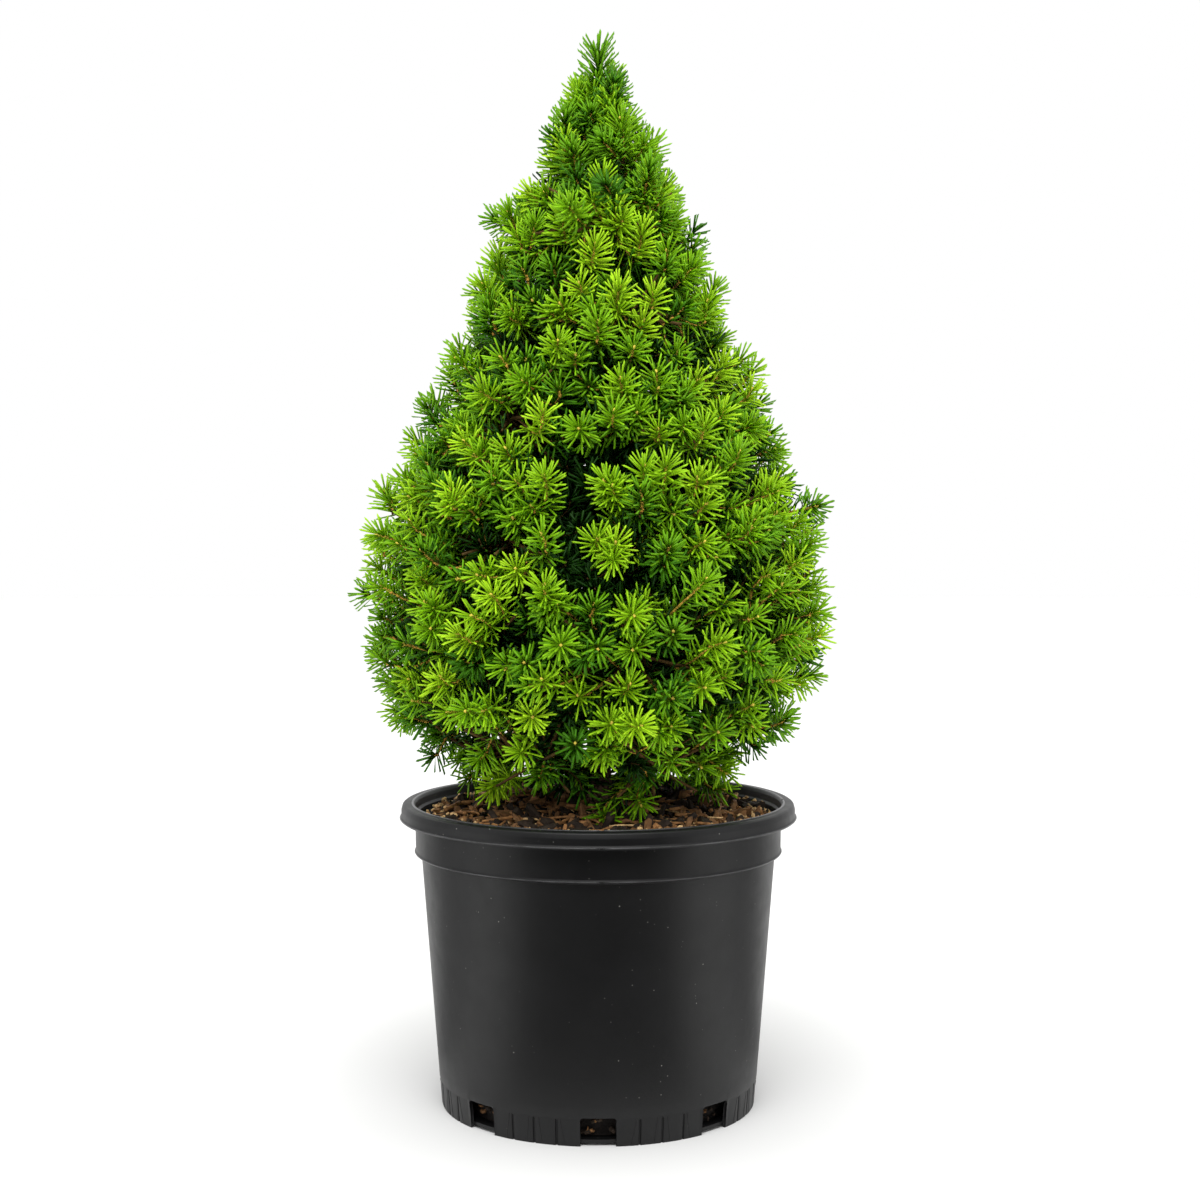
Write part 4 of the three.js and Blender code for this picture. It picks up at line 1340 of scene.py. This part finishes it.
# The lamps: place and size.
KEY_LIGHT = ((-60, -1350, 2000), 1700)
BACK_LIGHT = ((0, 1300, 1700), 1300)
FLOOR_SIDE = 12000
# Painted shadow: the floor is a little greyer near the pot than far behind it, in place of the pot's
# contact shadow.
FLOOR_SHADOW_NEAR = 100
FLOOR_SHADOW_FAR = 330
FLOOR_SHADOW_TONE = 0.76
# Cloths that only reflections see, which paint dark reflections on the pot, lighter near it in place of
# the floor's reflection:
# their grey near the pot and farther off, and the turns in degrees from the front between which they
# stand.
FLAGS = [
    ("black_flag", (0.26, 0.002), [(-49, 49)]),
    ("grey_flags", (0.36, 0.36), [(-124, -88), (88, 124)]),
]
FLAG_ROWS = [(150, 3), (1500, 3), (1500, 2150)]  # radius and height of a cloth's edges and fold
FLAG_COLUMNS = 41
FLAG_GREY_TO = 600  # beyond this a cloth has its far grey


class SPRUCE_OT_stage(bpy.types.Operator):
    """Lays a white floor, lights the plant softly and sets the camera"""

    bl_idname = "spruce.stage"
    bl_label = "Studio"

    def execute(self, context):
        s = context.scene.spruce_stage
        h = FLOOR_SIDE / 2
        corners = [(-h, -h, 0), (h, -h, 0), (h, h, 0), (-h, h, 0)]
        # The floor's greyer tone round the pot is painted shadow.
        near = [v * FLOOR_SHADOW_TONE for v in s.floor]
        painted_shadow_floor = painted_light_material("matte_floor", FLOOR_SHADOW_NEAR, FLOOR_SHADOW_FAR, near, s.floor, 0.9, 0.1)
        piece("studio_floor", (corners, [(0, 1, 2, 3)]), painted_shadow_floor)
        for name, greys, spans in FLAGS:
            self.flag(name, greys, spans)
        self.world(s.sky)
        self.lamp("key_light", *KEY_LIGHT, s.key)
        self.lamp("back_light", *BACK_LIGHT, s.back)
        self.camera()
        context.scene.view_settings.view_transform = "Standard"
        return {"FINISHED"}

    def flag(self, name, greys, spans):
        """Cloth round the pot that only reflections see, painting dark reflections on it: a strip of
        floor and an upright.
        """
        r, z = np.array(FLAG_ROWS, float).T
        sheets = []
        for first, last in spans:
            angles = np.radians(np.linspace(first, last, FLAG_COLUMNS))[:, None] - math.pi / 2
            grid = np.arange(FLAG_COLUMNS * len(r)).reshape(FLAG_COLUMNS, len(r))
            quads = np.stack([grid[:-1, :-1], grid[1:, :-1], grid[1:, 1:], grid[:-1, 1:]], -1)
            sheets.append((on_circle(r, angles, z).reshape(-1, 3), quads.reshape(-1, 4)))
        near, far = ((grey,) * 3 for grey in greys)
        # The cloth's grey near the pot paints the floor's reflection, and its black farther off paints a
        # dark reflection.
        cloth = painted_light_material(name, FLAG_ROWS[0][0], FLAG_GREY_TO, near, far, 1.0, 0.0)
        made = piece(name, joined(sheets), cloth)
        made.visible_camera = made.visible_diffuse = made.visible_shadow = False

    def world(self, strength):
        """A white studio, a little brighter overhead than at the horizon."""
        world = bpy.data.worlds.new("white_studio")
        bpy.context.scene.world = world
        world.use_nodes = True
        tree = world.node_tree
        tree.nodes.clear()
        place = add_node(tree, "TexCoord").outputs["Generated"]
        height = add_node(tree, "SeparateXYZ", links={"Vector": place}).outputs["Z"]
        values = {"From Min": 0.25, "From Max": 0.9, "To Min": strength, "To Max": strength * 1.12}
        bright = add_node(tree, "MapRange", values=values, links={"Value": height}).outputs[0]
        white = {"Color": (1, 1, 1, 1)}
        background = add_node(tree, "Background", values=white, links={"Strength": bright})
        add_node(tree, "OutputWorld", links={"Surface": background.outputs[0]})

    def lamp(self, name, place, side, power):
        """A round soft lamp, turned to the plant."""
        light = bpy.data.lights.new(name, "AREA")
        light.shape = "DISK"
        light.size = side * MM
        light.energy = power
        made = bpy.data.objects.new(name, light)
        made.location = Vector(place) * MM
        aim = Vector((0, 0, LAMPS_AIM * MM)) - made.location
        made.rotation_euler = aim.to_track_quat("-Z", "Y").to_euler()
        bpy.context.scene.collection.objects.link(made)

    def camera(self):
        camera = bpy.data.cameras.new("camera")
        camera.lens = CAMERA_LENS
        camera.sensor_width = CAMERA_SENSOR
        made = bpy.data.objects.new("camera", camera)
        made.location = Vector(CAMERA_PLACE) * MM
        made.rotation_euler = (math.radians(90 - CAMERA_DOWN), 0, math.radians(CAMERA_TURN))
        bpy.context.scene.collection.objects.link(made)
        bpy.context.scene.camera = made


# ---- The add-on ----


class SPRUCE_PT_panel(bpy.types.Panel):
    """The steps that make the potted spruce"""

    bl_idname = "SPRUCE_PT_panel"
    bl_label = "Potted Spruce"
    bl_space_type = "VIEW_3D"
    bl_region_type = "UI"
    bl_category = "Spruce"

    def draw(self, context):
        for operator in OPERATORS:
            self.layout.operator(operator.bl_idname)
        for name, settings in SETTINGS.items():
            box = self.layout.box()
            for prop in settings.__annotations__:
                box.prop(getattr(context.scene, name), prop)


OPERATORS = [
    SPRUCE_OT_pot,
    SPRUCE_OT_mix,
    SPRUCE_OT_wood,
    SPRUCE_OT_twigs,
    SPRUCE_OT_buds,
    SPRUCE_OT_needles,
    SPRUCE_OT_stage,
]


def register():
    for cls in [*SETTINGS.values(), *OPERATORS, SPRUCE_PT_panel]:
        bpy.utils.register_class(cls)
    for name, settings in SETTINGS.items():
        setattr(bpy.types.Scene, name, PointerProperty(type=settings))


def unregister():
    for name in SETTINGS:
        delattr(bpy.types.Scene, name)
    for cls in reversed([*SETTINGS.values(), *OPERATORS, SPRUCE_PT_panel]):
        bpy.utils.unregister_class(cls)


def main():
    register()
    bpy.ops.spruce.pot()
    bpy.ops.spruce.mix()
    bpy.ops.spruce.wood()
    bpy.ops.spruce.twigs()
    bpy.ops.spruce.buds()
    bpy.ops.spruce.needles()
    bpy.ops.spruce.stage()
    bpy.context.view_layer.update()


if __name__ == "__main__":
    main()
